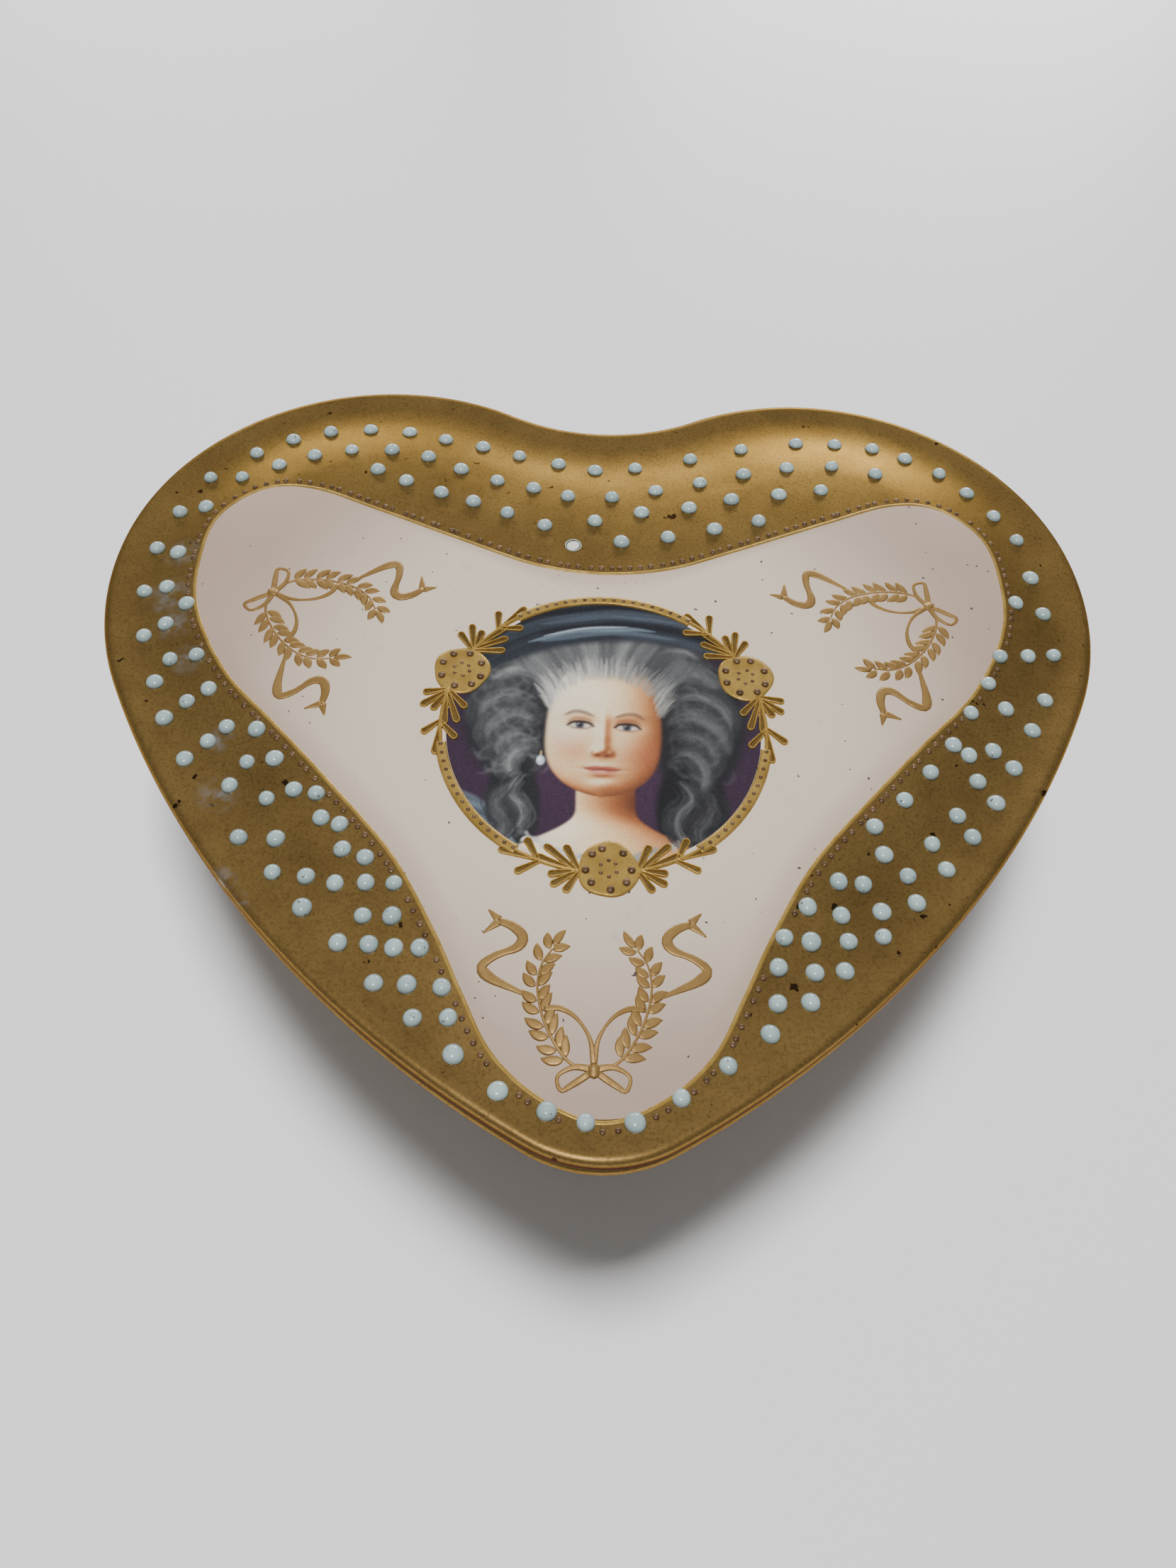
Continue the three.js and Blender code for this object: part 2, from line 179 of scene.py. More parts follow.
def smooth_rows(rows):
    """Rounds a run of rows as a cubic B-spline does. A last column keeps each row's place."""
    rows = np.array(rows, float)
    rows = np.column_stack([rows, np.arange(len(rows))])
    for _ in range(SMOOTHING_PASSES):
        kept = rows.copy()
        kept[1:-1] = (rows[:-2] + 6 * rows[1:-1] + rows[2:]) / 8
        finer = np.empty((2 * len(rows) - 1, rows.shape[1]))
        finer[0::2] = kept
        finer[1::2] = (rows[:-1] + rows[1:]) / 2
        rows = finer
    return rows


def through(points, count, closed=False):
    """A smooth curve through points, as count points evenly spaced along it."""
    points = np.array(points, float)
    if closed:
        padded = np.vstack([points[-1], points, points[:2]])
    else:
        padded = np.vstack([2 * points[0] - points[1], points, 2 * points[-1] - points[-2]])
    runs = []
    t = np.linspace(0, 1, 24, endpoint=False)[:, None]
    for p0, p1, p2, p3 in zip(padded, padded[1:], padded[2:], padded[3:]):
        runs.append(0.5 * (2 * p1 + (p2 - p0) * t + (2 * p0 - 5 * p1 + 4 * p2 - p3) * t**2
                           + (3 * p1 - p0 - 3 * p2 + p3) * t**3))
    fine = np.vstack(runs + [padded[1:2] if closed else padded[-2:-1]])
    run = np.concatenate([[0], np.cumsum(np.hypot(*np.diff(fine, axis=0).T))])
    at = np.linspace(0, run[-1], count, endpoint=not closed)
    return np.column_stack([np.interp(at, run, fine[:, k]) for k in range(fine.shape[1])])


def reserve_outline():
    """The tri-lobed reserve's outline, anticlockwise."""
    left = [(-x, y) for x, y in RESERVE_HALF[1:-1]]
    return through(RESERVE_HALF[::-1] + left, RESERVE_POINTS, closed=True)


RESERVE = reserve_outline()
RESERVE_RADIUS = radius_by_angle(RESERVE)

# ---------------------------------------------------------------- sections through the shells


def lid_rows():
    """The lid's section, from the middle of its underside out and back over the top."""
    e = LID_EDGE
    seat = BASE_RIM + 0.2
    underside = [(MIDDLE, e + 0.3), (34, e + 0.1), (22, e - 0.1), (11, e - 1.1), (8.4, e - 1.6)]
    flange = [(7.95, 30), (7.9, 27.5), (7.7, 27.2), (6.1, 27.2), (5.75, 27.5), (5.7, 30), (5.6, seat)]
    edge = [(5.2, seat), (1.3, seat), (0.6, seat + 0.1), (0.1, e - 1.0), (0, e - 0.2), (0.05, e + 0.5)]
    lip = [(0.35, e + 0.85), (0.9, e + 1.0), (1.7, e + 0.8), (3.2, e + 0.55), (6.2, e + 0.8)]
    crown = [(9, e + 1.5), (12, e + 2.1), (16, e + 2.55), (24, e + 3), (34, e + 3.2), (MIDDLE, e + 3.3)]
    return underside + flange + edge + lip + crown


def base_rows():
    """The base's section, from the middle of its underside out and back over the floor."""
    foot = [(MIDDLE, 1.8), (16.2, 1.8), (15.5, 1.5), (15.1, 0.4), (14.6, 0), (13, 0), (12.5, 0.3)]
    wall = [(12.3, 1.2), (12.6, 2.4), (12.2, 3.4), (10.2, 6.4), (7.6, 12), (5.2, 19), (3.1, 26)]
    rim = [(1.7, 28.6), (0.3, 29.3), (0, 29.9), (0.25, 30.55), (0.9, BASE_RIM), (4.4, BASE_RIM), (4.9, 30.3)]
    inside = [(5.05, 29), (5.2, 26.4), (7.6, 19), (10.2, 12), (12.8, 7.2), (15.5, 4.75), (18, 4.6)]
    return foot + wall + rim + inside + [(34, 4.6), (MIDDLE, 4.6)]


LID_ROWS = smooth_rows(lid_rows())
BASE_ROWS = smooth_rows(base_rows())
LID_CREST = int(np.argmin(LID_ROWS[:, 0]))
LID_TOP = LID_ROWS[LID_CREST:]
LID_TOP = LID_TOP[np.concatenate([[True], np.diff(np.maximum.accumulate(LID_TOP[:, 0])) > 1e-6])]


def lid_height(points):
    """Height of the lid's upper surface at plan points."""
    return np.interp(depth_at(points), LID_TOP[:, 0], LID_TOP[:, 1])


def lid_frame(points):
    """Places on the lid's upper surface and the surface's normals there."""
    points = np.atleast_2d(points)
    step = 0.2
    slope_x = (lid_height(points + [step, 0]) - lid_height(points - [step, 0])) / (2 * step)
    slope_y = (lid_height(points + [0, step]) - lid_height(points - [0, step])) / (2 * step)
    normals = np.column_stack([-slope_x, -slope_y, np.ones(len(points))])
    normals /= np.linalg.norm(normals, axis=1)[:, None]
    return np.column_stack([points, lid_height(points)]), normals


# ---------------------------------------------------------------- meshes


def grid_faces(rows, columns, close_rows=False, close_columns=True, first=0):
    """Quads between the rows of a grid of points numbered row by row."""
    r = np.arange(rows if close_rows else rows - 1)
    c = np.arange(columns if close_columns else columns - 1)
    rr, cc = np.meshgrid(r, c, indexing="ij")
    up, along = (rr + 1) % rows, (cc + 1) % columns
    quads = np.stack([rr * columns + cc, rr * columns + along, up * columns + along, up * columns + cc], -1)
    return (quads.reshape(-1, 4) + first).tolist()


def join_parts(parts):
    """One list of points and one of faces from several."""
    points = []
    faces = []
    for part_points, part_faces in parts:
        shift = len(points)
        points.extend(np.asarray(part_points).tolist())
        faces.extend([[i + shift for i in face] for face in part_faces])
    return points, faces


def make_piece(name, points, faces, materials, body, replaces, slot, indices=None):
    """A finished piece from points in millimetres."""
    mesh = bpy.data.meshes.new(name)
    mesh.from_pydata((np.asarray(points) * MM).tolist(), [], faces)
    for material in materials:
        mesh.materials.append(material)
    if indices is not None:
        mesh.polygons.foreach_set("material_index", np.asarray(indices, dtype=np.int32))
    mesh.shade_smooth()
    piece = bpy.data.objects.new(name, mesh)
    bpy.context.scene.collection.objects.link(piece)
    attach(piece, body)
    if replaces:
        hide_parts(*replaces)
    return piece


def lid_piece(name, parts, finish, replaces=(), slot="gilding"):
    """A decoration on the lid, joined from meshes of one finish."""
    return make_piece(name, *join_parts(parts), [finish], "lid", replaces, slot)


def add_values(piece, name, values):
    """A number at each of the piece's points, for its material to read."""
    layer = piece.data.attributes.new(name, "FLOAT", "POINT")
    layer.data.foreach_set("value", np.asarray(values, np.float32))


def shell(rows):
    """Points and faces of a heart-shaped solid with this section, and each face's place in it."""
    rings = ring_rows(rows[1:-1])
    points = np.vstack(rings + [[[0, 0, rows[0][1]]], [[0, 0, rows[-1][1]]]])
    faces = grid_faces(len(rings), RING_POINTS)
    place = np.repeat((rows[1:-2, 2] + rows[2:-1, 2]) / 2, RING_POINTS)
    low, high = len(rings) * RING_POINTS, len(rings) * RING_POINTS + 1
    top = (len(rings) - 1) * RING_POINTS
    for i in range(RING_POINTS):
        j = (i + 1) % RING_POINTS
        faces.append([low, j, i])
        faces.append([high, top + i, top + j])
    place = np.concatenate([place, np.tile([0.0, rows[-1, 2]], RING_POINTS)])
    return points, faces, place


def dome(place, normal, radius, height, sides=18, rings=8, wobble=0.0, sink=0.08):
    """A drop of paste or enamel: a low dome, a little uneven."""
    side = np.cross(normal, [0.3, 1.0, 0.2])
    side /= np.linalg.norm(side)
    other = np.cross(normal, side)
    angles = np.linspace(0, 2 * math.pi, sides, endpoint=False)
    phase = rng.uniform(0, 6.28, 2)
    outline = 1 + wobble * (np.cos(2 * angles + phase[0]) + 0.5 * np.cos(3 * angles + phase[1]))
    lean = rng.normal(0, wobble, 2) * radius
    points = [place - normal * sink]
    for t in np.linspace(0, 1, rings, endpoint=False):
        reach = radius * math.cos(t * math.pi / 2) * outline
        rise = height * math.sin(t * math.pi / 2) - (sink if t == 0 else 0)
        across = np.outer(np.cos(angles) * reach + lean[0] * t, side)
        along = np.outer(np.sin(angles) * reach + lean[1] * t, other)
        points.extend(place + across + along + normal * rise)
    points.append(place + normal * height + side * lean[0] + other * lean[1])
    faces = grid_faces(rings, sides, first=1)
    last = 1 + (rings - 1) * sides
    for i in range(sides):
        j = (i + 1) % sides
        faces.append([0, 1 + j, 1 + i])
        faces.append([len(points) - 1, last + i, last + j])
    return points, faces


def domes_on_lid(plan, radii, heights, lift=0.0, **shape):
    """A dome on the lid at each plan place."""
    places, normals = lid_frame(plan)
    places[:, 2] += lift
    radii = np.broadcast_to(radii, len(places))
    heights = np.broadcast_to(heights, len(places))
    return [dome(*each, **shape) for each in zip(places, normals, radii, heights)]


def line_part(path, widths, height, power=2.0, closed=False, sink=0.05):
    """A raised line on the lid along a plan path. A high power makes a flat top."""
    path = np.asarray(path, float)
    widths = np.broadcast_to(widths, len(path))
    if closed:
        ahead = np.roll(path, -1, 0) - np.roll(path, 1, 0)
    else:
        ahead = np.gradient(path, axis=0)
    ahead /= np.maximum(np.hypot(ahead[:, 0], ahead[:, 1]), 1e-9)[:, None]
    normal = np.column_stack([-ahead[:, 1], ahead[:, 0]])
    places = np.linspace(1, -1, LINE_POINTS)
    rises = height * (1 - np.abs(places) ** power)
    rises[0] = rises[-1] = -sink
    plan = path[:, None] + normal[:, None] * (widths[:, None, None] / 2) * places[None, :, None]
    flat = plan.reshape(-1, 2)
    thin = np.repeat(np.minimum(1, widths / max(widths.max(), 1e-9) * 1.6), LINE_POINTS)
    rises = np.tile(rises, len(path))
    points = np.column_stack([flat, lid_height(flat) + np.where(rises > 0, rises * thin, -sink)])
    faces = grid_faces(len(path), LINE_POINTS, close_rows=closed)
    if not closed:
        faces.append(list(range(LINE_POINTS))[::-1])
        faces.append([(len(path) - 1) * LINE_POINTS + k for k in range(LINE_POINTS)])
    return points, [face[::-1] for face in faces]


# ---------------------------------------------------------------- material helpers


class Finish:
    """A material and short ways to wire its nodes."""

    def __init__(self, name, **constants):
        self.material = bpy.data.materials.new(name)
        self.material.use_nodes = True
        self.nodes = self.material.node_tree.nodes
        self.links = self.material.node_tree.links
        self.shader = self.nodes["Principled BSDF"]
        for socket, value in constants.items():
            self.shader.inputs[socket.replace("_", " ")].default_value = value
        self.where = self.nodes.new("ShaderNodeTexCoord").outputs["Object"]

    def wire(self, socket, value):
        """Links an output to a socket, or sets a number or a (red, green, blue) there."""
        if hasattr(value, "is_linked"):
            self.links.new(value, socket)
        else:
            socket.default_value = (*value, 1) if isinstance(value, tuple) else value

    def noise(self, scale, detail=4.0, roughness=0.55):
        """Noise from 0 to 1. The scale is in lumps per metre."""
        node = self.nodes.new("ShaderNodeTexNoise")
        settings = {"Vector": self.where, "Scale": scale, "Detail": detail, "Roughness": roughness}
        for socket, value in settings.items():
            self.wire(node.inputs[socket], value)
        return node.outputs["Fac"]

    def attribute(self, name, output="Fac"):
        node = self.nodes.new("ShaderNodeAttribute")
        node.attribute_name = name
        return node.outputs[output]

    def range(self, value, low, high, to_low=0.0, to_high=1.0):
        """A value eased from one range to another."""
        node = self.nodes.new("ShaderNodeMapRange")
        node.interpolation_type = "SMOOTHSTEP"
        sockets = ("Value", "From Min", "From Max", "To Min", "To Max")
        for socket, number in zip(sockets, (value, low, high, to_low, to_high)):
            self.wire(node.inputs[socket], number)
        return node.outputs["Result"]

    def product(self, a, b):
        node = self.nodes.new("ShaderNodeMath")
        node.operation = "MULTIPLY"
        self.wire(node.inputs[0], a)
        self.wire(node.inputs[1], b)
        return node.outputs[0]

    def mix(self, factor, a, b):
        """A colour between two. Each is a socket or (red, green, blue)."""
        node = self.nodes.new("ShaderNodeMix")
        node.data_type = "RGBA"
        for place, value in ((0, factor), (6, a), (7, b)):
            self.wire(node.inputs[place], value)
        return node.outputs[2]

    def set(self, socket, value):
        self.links.new(value, self.shader.inputs[socket])

    def bump(self, height, distance, strength=1.0):
        """Relief from a height of 0 to 1, this many millimetres deep."""
        node = self.nodes.new("ShaderNodeBump")
        node.inputs["Strength"].default_value = strength
        node.inputs["Distance"].default_value = distance * MM
        self.links.new(height, node.inputs["Height"])
        self.links.new(node.outputs["Normal"], self.shader.inputs["Normal"])


# ---------------------------------------------------------------- materials


def gilding():
    """Worn satin gilding over glaze: mottled, scratched, rubbed and specked with dirt, with painted shade
    darkening the seam under the lid's lip.
    """
    f = Finish("worn_gilding", Metallic=0.86, Specular_Tint=(0.55, 0.36, 0.16, 1))
    cloud = f.noise(110, 5, 0.6)
    fine = f.noise(3200, 5, 0.75)
    rubbed = f.noise(300, 5, 0.7)
    tone = f.mix(f.range(cloud, 0.25, 0.75), (0.305, 0.19, 0.063), (0.4, 0.255, 0.085))
    tone = f.mix(f.range(fine, 0.42, 0.74, 0, 0.7), tone, (0.14, 0.08, 0.024))
    tone = f.mix(f.range(rubbed, 0.5, 0.8, 0, 0.3), tone, (0.42, 0.275, 0.088))
    tone = f.mix(f.range(f.noise(560, 3, 0.5), 0.7, 0.735), tone, (0.05, 0.028, 0.014))
    wear = f.product(f.attribute("wear"), f.range(f.noise(800, 5, 0.7), 0.4, 0.6))
    tone = f.mix(wear, tone, (0.5, 0.47, 0.43))
    # painted shade: the gilding is darkened to near black in the seam under the lid's lip
    f.set("Base Color", f.mix(f.attribute("painted_seam_shade"), tone, (0.03, 0.018, 0.009)))
    f.set("Roughness", f.range(rubbed, 0.2, 0.8, 0.33, 0.41))
    f.bump(fine, 0.012, 0.7)
    return f.material


def bright_gilding():
    """The yellower burnished gilding of lines, rosettes and leaves."""
    f = Finish("burnished_gilding", Metallic=0.62)
    fine = f.noise(2400, 5, 0.7)
    tone = f.mix(f.range(f.noise(400), 0.35, 0.65), (0.46, 0.285, 0.066), (0.6, 0.39, 0.1))
    f.set("Base Color", f.mix(f.range(fine, 0.45, 0.75, 0, 0.6), tone, (0.29, 0.155, 0.04)))
    f.set("Roughness", f.range(fine, 0.3, 0.7, 0.28, 0.42))
    f.bump(fine, 0.03, 0.7)
    return f.material


def paste_gold():
    """The dull brown gold of the tiny paste beads."""
    f = Finish("paste_gold", Metallic=0.5, Roughness=0.3)
    tone = f.mix(f.range(f.noise(900), 0.35, 0.65), (0.115, 0.066, 0.034), (0.22, 0.135, 0.075))
    f.set("Base Color", tone)
    return f.material


def flat_gold():
    """The flat brownish printed gold of the wreaths."""
    f = Finish("printed_gold", Metallic=0.7)
    fine = f.noise(1700, 4, 0.6)
    tone = f.mix(f.range(f.noise(300), 0.35, 0.65), (0.4, 0.235, 0.075), (0.49, 0.3, 0.105))
    f.set("Base Color", f.mix(f.range(fine, 0.5, 0.75, 0, 0.5), tone, (0.25, 0.14, 0.055)))
    f.set("Roughness", f.range(fine, 0.3, 0.7, 0.36, 0.5))
    f.bump(fine, 0.02, 0.5)
    return f.material


def pink_ground():
    """Pale pink glazed ground, creamier in the middle, with faint marks of wear."""
    f = Finish("pink_ground", Roughness=0.36, Coat_Weight=0.2, Coat_Roughness=0.16)
    cloud = f.noise(45, 3, 0.5)
    tone = f.mix(f.range(cloud, 0.3, 0.7), (0.4, 0.3, 0.235), (0.37, 0.27, 0.215))
    ends = f.range(f.attribute("middle_distance"), 22, 44, 1, 0)
    edge = f.range(f.attribute("edge_distance"), 0.0, 3.5, 0.45, 1)
    tone = f.mix(f.product(ends, edge), tone, (0.6, 0.51, 0.405))
    smudge = f.range(f.noise(300, 4, 0.65), 0.62, 0.78, 0, 0.3)
    tone = f.mix(smudge, tone, (0.34, 0.25, 0.19))
    specks = f.range(f.noise(1500, 1, 0.3), 0.785, 0.8)
    f.set("Base Color", f.mix(specks, tone, (0.08, 0.06, 0.05)))
    f.bump(f.noise(260, 3, 0.5), 0.015, 0.5)
    return f.material


def white_glaze():
    """Clear glaze over white porcelain, inside the box and under the lid."""
    f = Finish("white_glaze", Roughness=0.14, Coat_Weight=0.4, Coat_Roughness=0.06)
    tone = f.mix(f.range(f.noise(70, 3), 0.3, 0.7), (0.66, 0.645, 0.61), (0.62, 0.6, 0.555))
    specks = f.range(f.noise(1100, 1, 0.3), 0.78, 0.8)
    f.set("Base Color", f.mix(specks, tone, (0.22, 0.17, 0.13)))
    f.bump(f.noise(220, 3, 0.5), 0.03, 0.5)
    return f.material


def bare_porcelain():
    """Unglazed porcelain, where the piece stood in the kiln."""
    f = Finish("bare_porcelain", Roughness=0.75)
    tone = f.mix(f.range(f.noise(900, 4), 0.35, 0.65), (0.6, 0.57, 0.52), (0.5, 0.465, 0.41))
    f.set("Base Color", tone)
    f.bump(f.noise(2600, 3), 0.03, 0.8)
    return f.material


def enamel():
    """Pale turquoise enamel, with pinholes and dirt in some drops."""
    f = Finish("turquoise_enamel", Roughness=0.2, Coat_Weight=0.8, Coat_Roughness=0.09)
    tone = f.mix(f.range(f.noise(260, 3), 0.35, 0.65), (0.37, 0.475, 0.475), (0.3, 0.395, 0.4))
    dirt = f.range(f.noise(1900, 3, 0.5), 0.685, 0.72, 0, 0.85)
    f.set("Base Color", f.mix(dirt, tone, (0.075, 0.07, 0.065)))
    f.bump(f.noise(1500, 2), 0.02, 0.5)
    return f.material


GOLD = gilding()
BRIGHT = bright_gilding()
PASTE = paste_gold()
PRINTED = flat_gold()
PINK = pink_ground()
WHITE = white_glaze()
BARE = bare_porcelain()
ENAMEL = enamel()

# ---------------------------------------------------------------- the two shells


# How far in from the rim the lid's gold gives way to pink, under the gilt border.
LIP_DEPTH = 4.0
# Where the base's finish changes, by control row of its section, and its finish up to each:
# white underside, bare foot ring, gilt foot line, pink wall, gilt rim, white inside.
BASE_FINISHES = [WHITE, BARE, GOLD, PINK]
BASE_ZONES = [2.5, 6.5, 9.2, 12.7, 19.4]
ZONE_FINISHES = np.array([0, 1, 2, 3, 2, 0])
# The gilding reaches under the rim as far as this control row of the lid's section.
BORDER_FIRST_ROW = 13
# Rings from the lip in to the reserve, and the skin's reach above and below the glaze.
BORDER_STEPS = 42
GILDING_LIFT = 0.04
GILDING_SINK = 0.05
# Painted shade in the seam under the lid's lip: its top above the edge, and how far it fades over.
SEAM_TOP = 0.55
SEAM_FADE = 0.45
# Where the gilding on the left flank is rubbed pale: distance along the rim, depth, reach.
WORN_PLACES = [
    (71, 7.6, 2.2), (79, 7.0, 2.8), (84, 7.6, 2.4), (91, 8.0, 2.0), (103, 7.4, 1.6),
    (109, 4.6, 2.2), (118, 0.3, 1.5), (121, 0.5, 1.0),
]
WORN_STRENGTH = 0.8


def lid_shell():
    points, faces, place = shell(LID_ROWS)
    top = LID_ROWS[LID_CREST, 2]
    lip = np.interp(LIP_DEPTH, LID_TOP[:, 0], LID_TOP[:, 2])
    indices = np.searchsorted([top, lip], place)
    finishes = [WHITE, GOLD, PINK]
    piece = make_piece("lid_porcelain", points, faces, finishes, "lid", ["lid_shell"], "porcelain", indices)
    plan = points[:, :2]
    from_middle = np.hypot(plan[:, 0], plan[:, 1])
    inward = RESERVE_RADIUS(np.arctan2(plan[:, 1], plan[:, 0])) - from_middle
    add_values(piece, "edge_distance", np.maximum(inward, 0))
    add_values(piece, "middle_distance", from_middle)


def base_shell():
    points, faces, place = shell(BASE_ROWS)
    indices = ZONE_FINISHES[np.searchsorted(BASE_ZONES, place)]
    make_piece("base_porcelain", points, faces, BASE_FINISHES, "base", ["base_shell"], "porcelain", indices)


def add_wear(piece, points):
    """How far the gilding is rubbed away at each point."""
    wear = np.zeros(len(points))
    for s, depth, reach in WORN_PLACES:
        centre = rim_point(s, depth) * [-1, 1]
        gap = np.hypot(*(points[:, :2] - centre).T) / reach
        wear = np.maximum(wear, np.clip(1.1 - gap, 0, 1) * WORN_STRENGTH)
    add_values(piece, "wear", wear)


def gilt_border():
    """The gilded border of the lid: a skin from the reserve's edge over the rim and under it."""
    first = int(np.argmin(np.abs(LID_ROWS[:, 2] - BORDER_FIRST_ROW)))
    lip_rows = LID_TOP[(LID_TOP[:, 0] > 0.01) & (LID_TOP[:, 0] < LIP_DEPTH)]
    rows = ring_rows(LID_ROWS[first:LID_CREST + 1]) + ring_rows(lip_rows)
    ring = rows[-1][:, :2]
    angle = np.arctan2(ring[:, 1], ring[:, 0])
    inner = facing(angle) * RESERVE_RADIUS(angle)[:, None]
    for t in np.linspace(0, 1, BORDER_STEPS)[1:]:
        plan = ring + (inner - ring) * t
        rows.append(np.column_stack([plan, lid_height(plan)]))
    rows = np.array(rows)
    along = np.roll(rows, -1, 1) - np.roll(rows, 1, 1)
    normal = np.cross(along, np.gradient(rows, axis=0))
    normal /= np.maximum(np.linalg.norm(normal, axis=2), 1e-9)[..., None]
    skin = np.concatenate([rows + GILDING_LIFT * normal, (rows - GILDING_SINK * normal)[::-1]])
    faces = grid_faces(len(skin), RING_POINTS, close_rows=True)
    skin = skin.reshape(-1, 3)
    piece = lid_piece("gilt_border", [(skin, faces)], GOLD)
    add_wear(piece, skin)
    # painted shade on the lid's outer wall and underside below the lip, strongest lowest down
    add_values(piece, "painted_seam_shade", np.clip((LID_EDGE + SEAM_TOP - skin[:, 2]) / SEAM_FADE, 0, 1))


# ---------------------------------------------------------------- applied decoration


# The raised line round the reserve and the row of tiny paste beads outside it.
EDGE_LINE_WIDTH = 0.5
EDGE_LINE_HEIGHT = 0.1
EDGE_BEAD_OFFSET = 0.85
EDGE_BEAD_SPACING = 1.22
EDGE_BEAD_RADIUS = 0.33
EDGE_BEAD_HEIGHT = 0.2

# Runs of enamel beads down the flanks: side, first and last distance along the rim, number
# of beads, and the depths that the run is eased through.
FLANK_RUNS = [
    ("right", 64, 84, 4, [5, 6, 4.5]),
    ("right", 91, 160, 14, [4, 4, 4.5, 3.5]),
    ("right", 76, 95, 3, [8.5, 7, 7.5]),
    ("right", 101, 141.5, 9, [6.5, 6.5, 6]),
    ("right", 103.5, 103.5, 1, [8.5]),
    ("right", 121, 139, 5, [9.5, 8.5, 8.5]),
    ("right", 88, 119, 7, [10, 10.5, 12]),
    ("right", 127.5, 136.5, 3, [11, 11, 10]),
    ("left", 56, 92, 6, [4.5, 4]),
    ("left", 97, 103, 2, [3.5]),
    ("left", 115, 147, 7, [4, 4.5, 3.5]),
    ("left", 152.5, 162, 3, [3, 3.5]),
    ("left", 61, 61, 1, [7]),
    ("left", 71, 109, 7, [7, 6.5, 6]),
    ("left", 117.5, 123, 2, [6.5]),
    ("left", 133.5, 144.5, 3, [6, 5.5]),
    ("left", 142, 142, 1, [7.5]),
    ("left", 81, 81, 1, [9]),
    ("left", 91, 113, 5, [9, 8.5]),
    ("left", 126, 135.5, 3, [8, 7.5]),
    ("left", 104.5, 138, 8, [11, 11, 9]),
    ("left", 116, 131, 4, [12.5, 11.5]),
]
# Runs over the two lobes, as places that a run passes through and its number of beads.
LOBE_RUNS = [
    ([(-1, 34.5), (-19, 39), (-28, 40.5), (-37, 39), (-42, 36)], 10),
    ([(4, 35.5), (17, 39), (24, 40.5)], 4),
    ([(29, 40.5), (34, 40), (41, 36.5), (47, 29.5)], 6),
    ([(-43, 31.5), (-35, 35), (-25, 36), (-16, 32.5), (-4, 29)], 10),
    ([(1, 29), (14, 33), (25, 35.5), (33, 34.5)], 7),
    ([(-27, 32), (-19, 28.5), (-7, 24)], 6),
    ([(-1, 25), (11, 28), (26, 31)], 6),
    ([(2, 21.5), (8, 22.5), (18, 25.5)], 4),
]
BEAD_RADIUS = 0.92
BEAD_HEIGHT = 0.8
BEAD_SCATTER = 0.13
LOST_BEAD = np.array([-3.5, 20.8])


def uneven_beads(plan, radius, height, **shape):
    """Domes on the lid that differ a little in size."""
    radii = radius * rng.normal(1, 0.04, len(plan))
    heights = height * rng.normal(1, 0.06, len(plan))
    return domes_on_lid(plan, radii, heights, **shape)


def bead_runs():
    """The plan places of the enamel beads, run by run."""
    runs = [through(places, count) for places, count in LOBE_RUNS]
    for side, first, last, count, depths in FLANK_RUNS:
        s = np.linspace(first, last, count)
        eased = np.interp(np.linspace(0, 1, count), np.linspace(0, 1, len(depths)), depths)
        plan = np.array([rim_point(a, d) for a, d in zip(s, eased)])
        runs.append(plan * ([1, 1] if side == "right" else [-1, 1]))
    return [run + rng.normal(0, BEAD_SCATTER, run.shape) for run in runs]


def reserve_edging(runs):
    """A thin raised line and a row of tiny paste beads, left out where enamel beads are."""
    ahead = np.roll(RESERVE, -1, 0) - np.roll(RESERVE, 1, 0)
    ahead /= np.hypot(ahead[:, 0], ahead[:, 1])[:, None]
    outward = np.column_stack([ahead[:, 1], -ahead[:, 0]])
    line = line_part(RESERVE + outward * 0.1, EDGE_LINE_WIDTH, EDGE_LINE_HEIGHT, closed=True)
    lid_piece("reserve_line", [line], BRIGHT)
    length = np.hypot(*(RESERVE - np.roll(RESERVE, 1, 0)).T).sum()
    count = int(length / EDGE_BEAD_SPACING)
    at = np.arange(count) * RESERVE_POINTS / count + rng.normal(0, 0.5, count)
    at = at.astype(int) % RESERVE_POINTS
    plan = RESERVE[at] + outward[at] * EDGE_BEAD_OFFSET
    gaps = np.hypot(*(plan[:, None] - np.vstack(runs)[None]).transpose(2, 0, 1)).min(axis=1)
    plan = plan[gaps > BEAD_RADIUS + 0.3]
    beads = uneven_beads(plan, EDGE_BEAD_RADIUS, EDGE_BEAD_HEIGHT, sides=12, rings=4, sink=0.1)
    lid_piece("reserve_edging_beads", beads, PASTE, ["reserve_edging"])


def enamel_beads(runs):
    cad_beads = sorted(name for name in frame["nodes"] if name.startswith("enamel_bead"))
    # the CAD's upper row runs from the right lobe over the cleft to the left one
    upper = {0: cad_beads[12:], 1: cad_beads[8:12], 2: cad_beads[:8]}
    for i, run in enumerate(runs):
        beads = uneven_beads(run, BEAD_RADIUS, BEAD_HEIGHT, wobble=0.02)
        lid_piece(f"enamel_beads_run_{i + 1}", beads, ENAMEL, upper.get(i, ()), "enamel")


def lost_bead():
    """The pale scar where one drop of enamel has come away, with a rim of enamel left."""
    scar = domes_on_lid(LOST_BEAD, 0.86, 0.07, wobble=0.05)
    lid_piece("lost_bead_scar", scar, WHITE, slot="porcelain")
    angles = np.linspace(0, 2 * math.pi, 40, endpoint=False)
    rim = line_part(LOST_BEAD + 0.88 * facing(angles), 0.2, 0.13, closed=True)
    lid_piece("lost_bead_rim", [rim], ENAMEL, slot="enamel")


# A rosette's section, as part of its radius and height above the lid.
ROSETTE_ROWS = [(1, -0.05), (1, 0.12), (0.93, 0.2), (0.8, 0.22), (0.5, 0.22), (0.28, 0.26), (0.1, 0.28)]
ROSETTE_RADIUS = 2.95
ROSETTE_HEIGHT = 0.28
ROSETTE_SIDES = 48
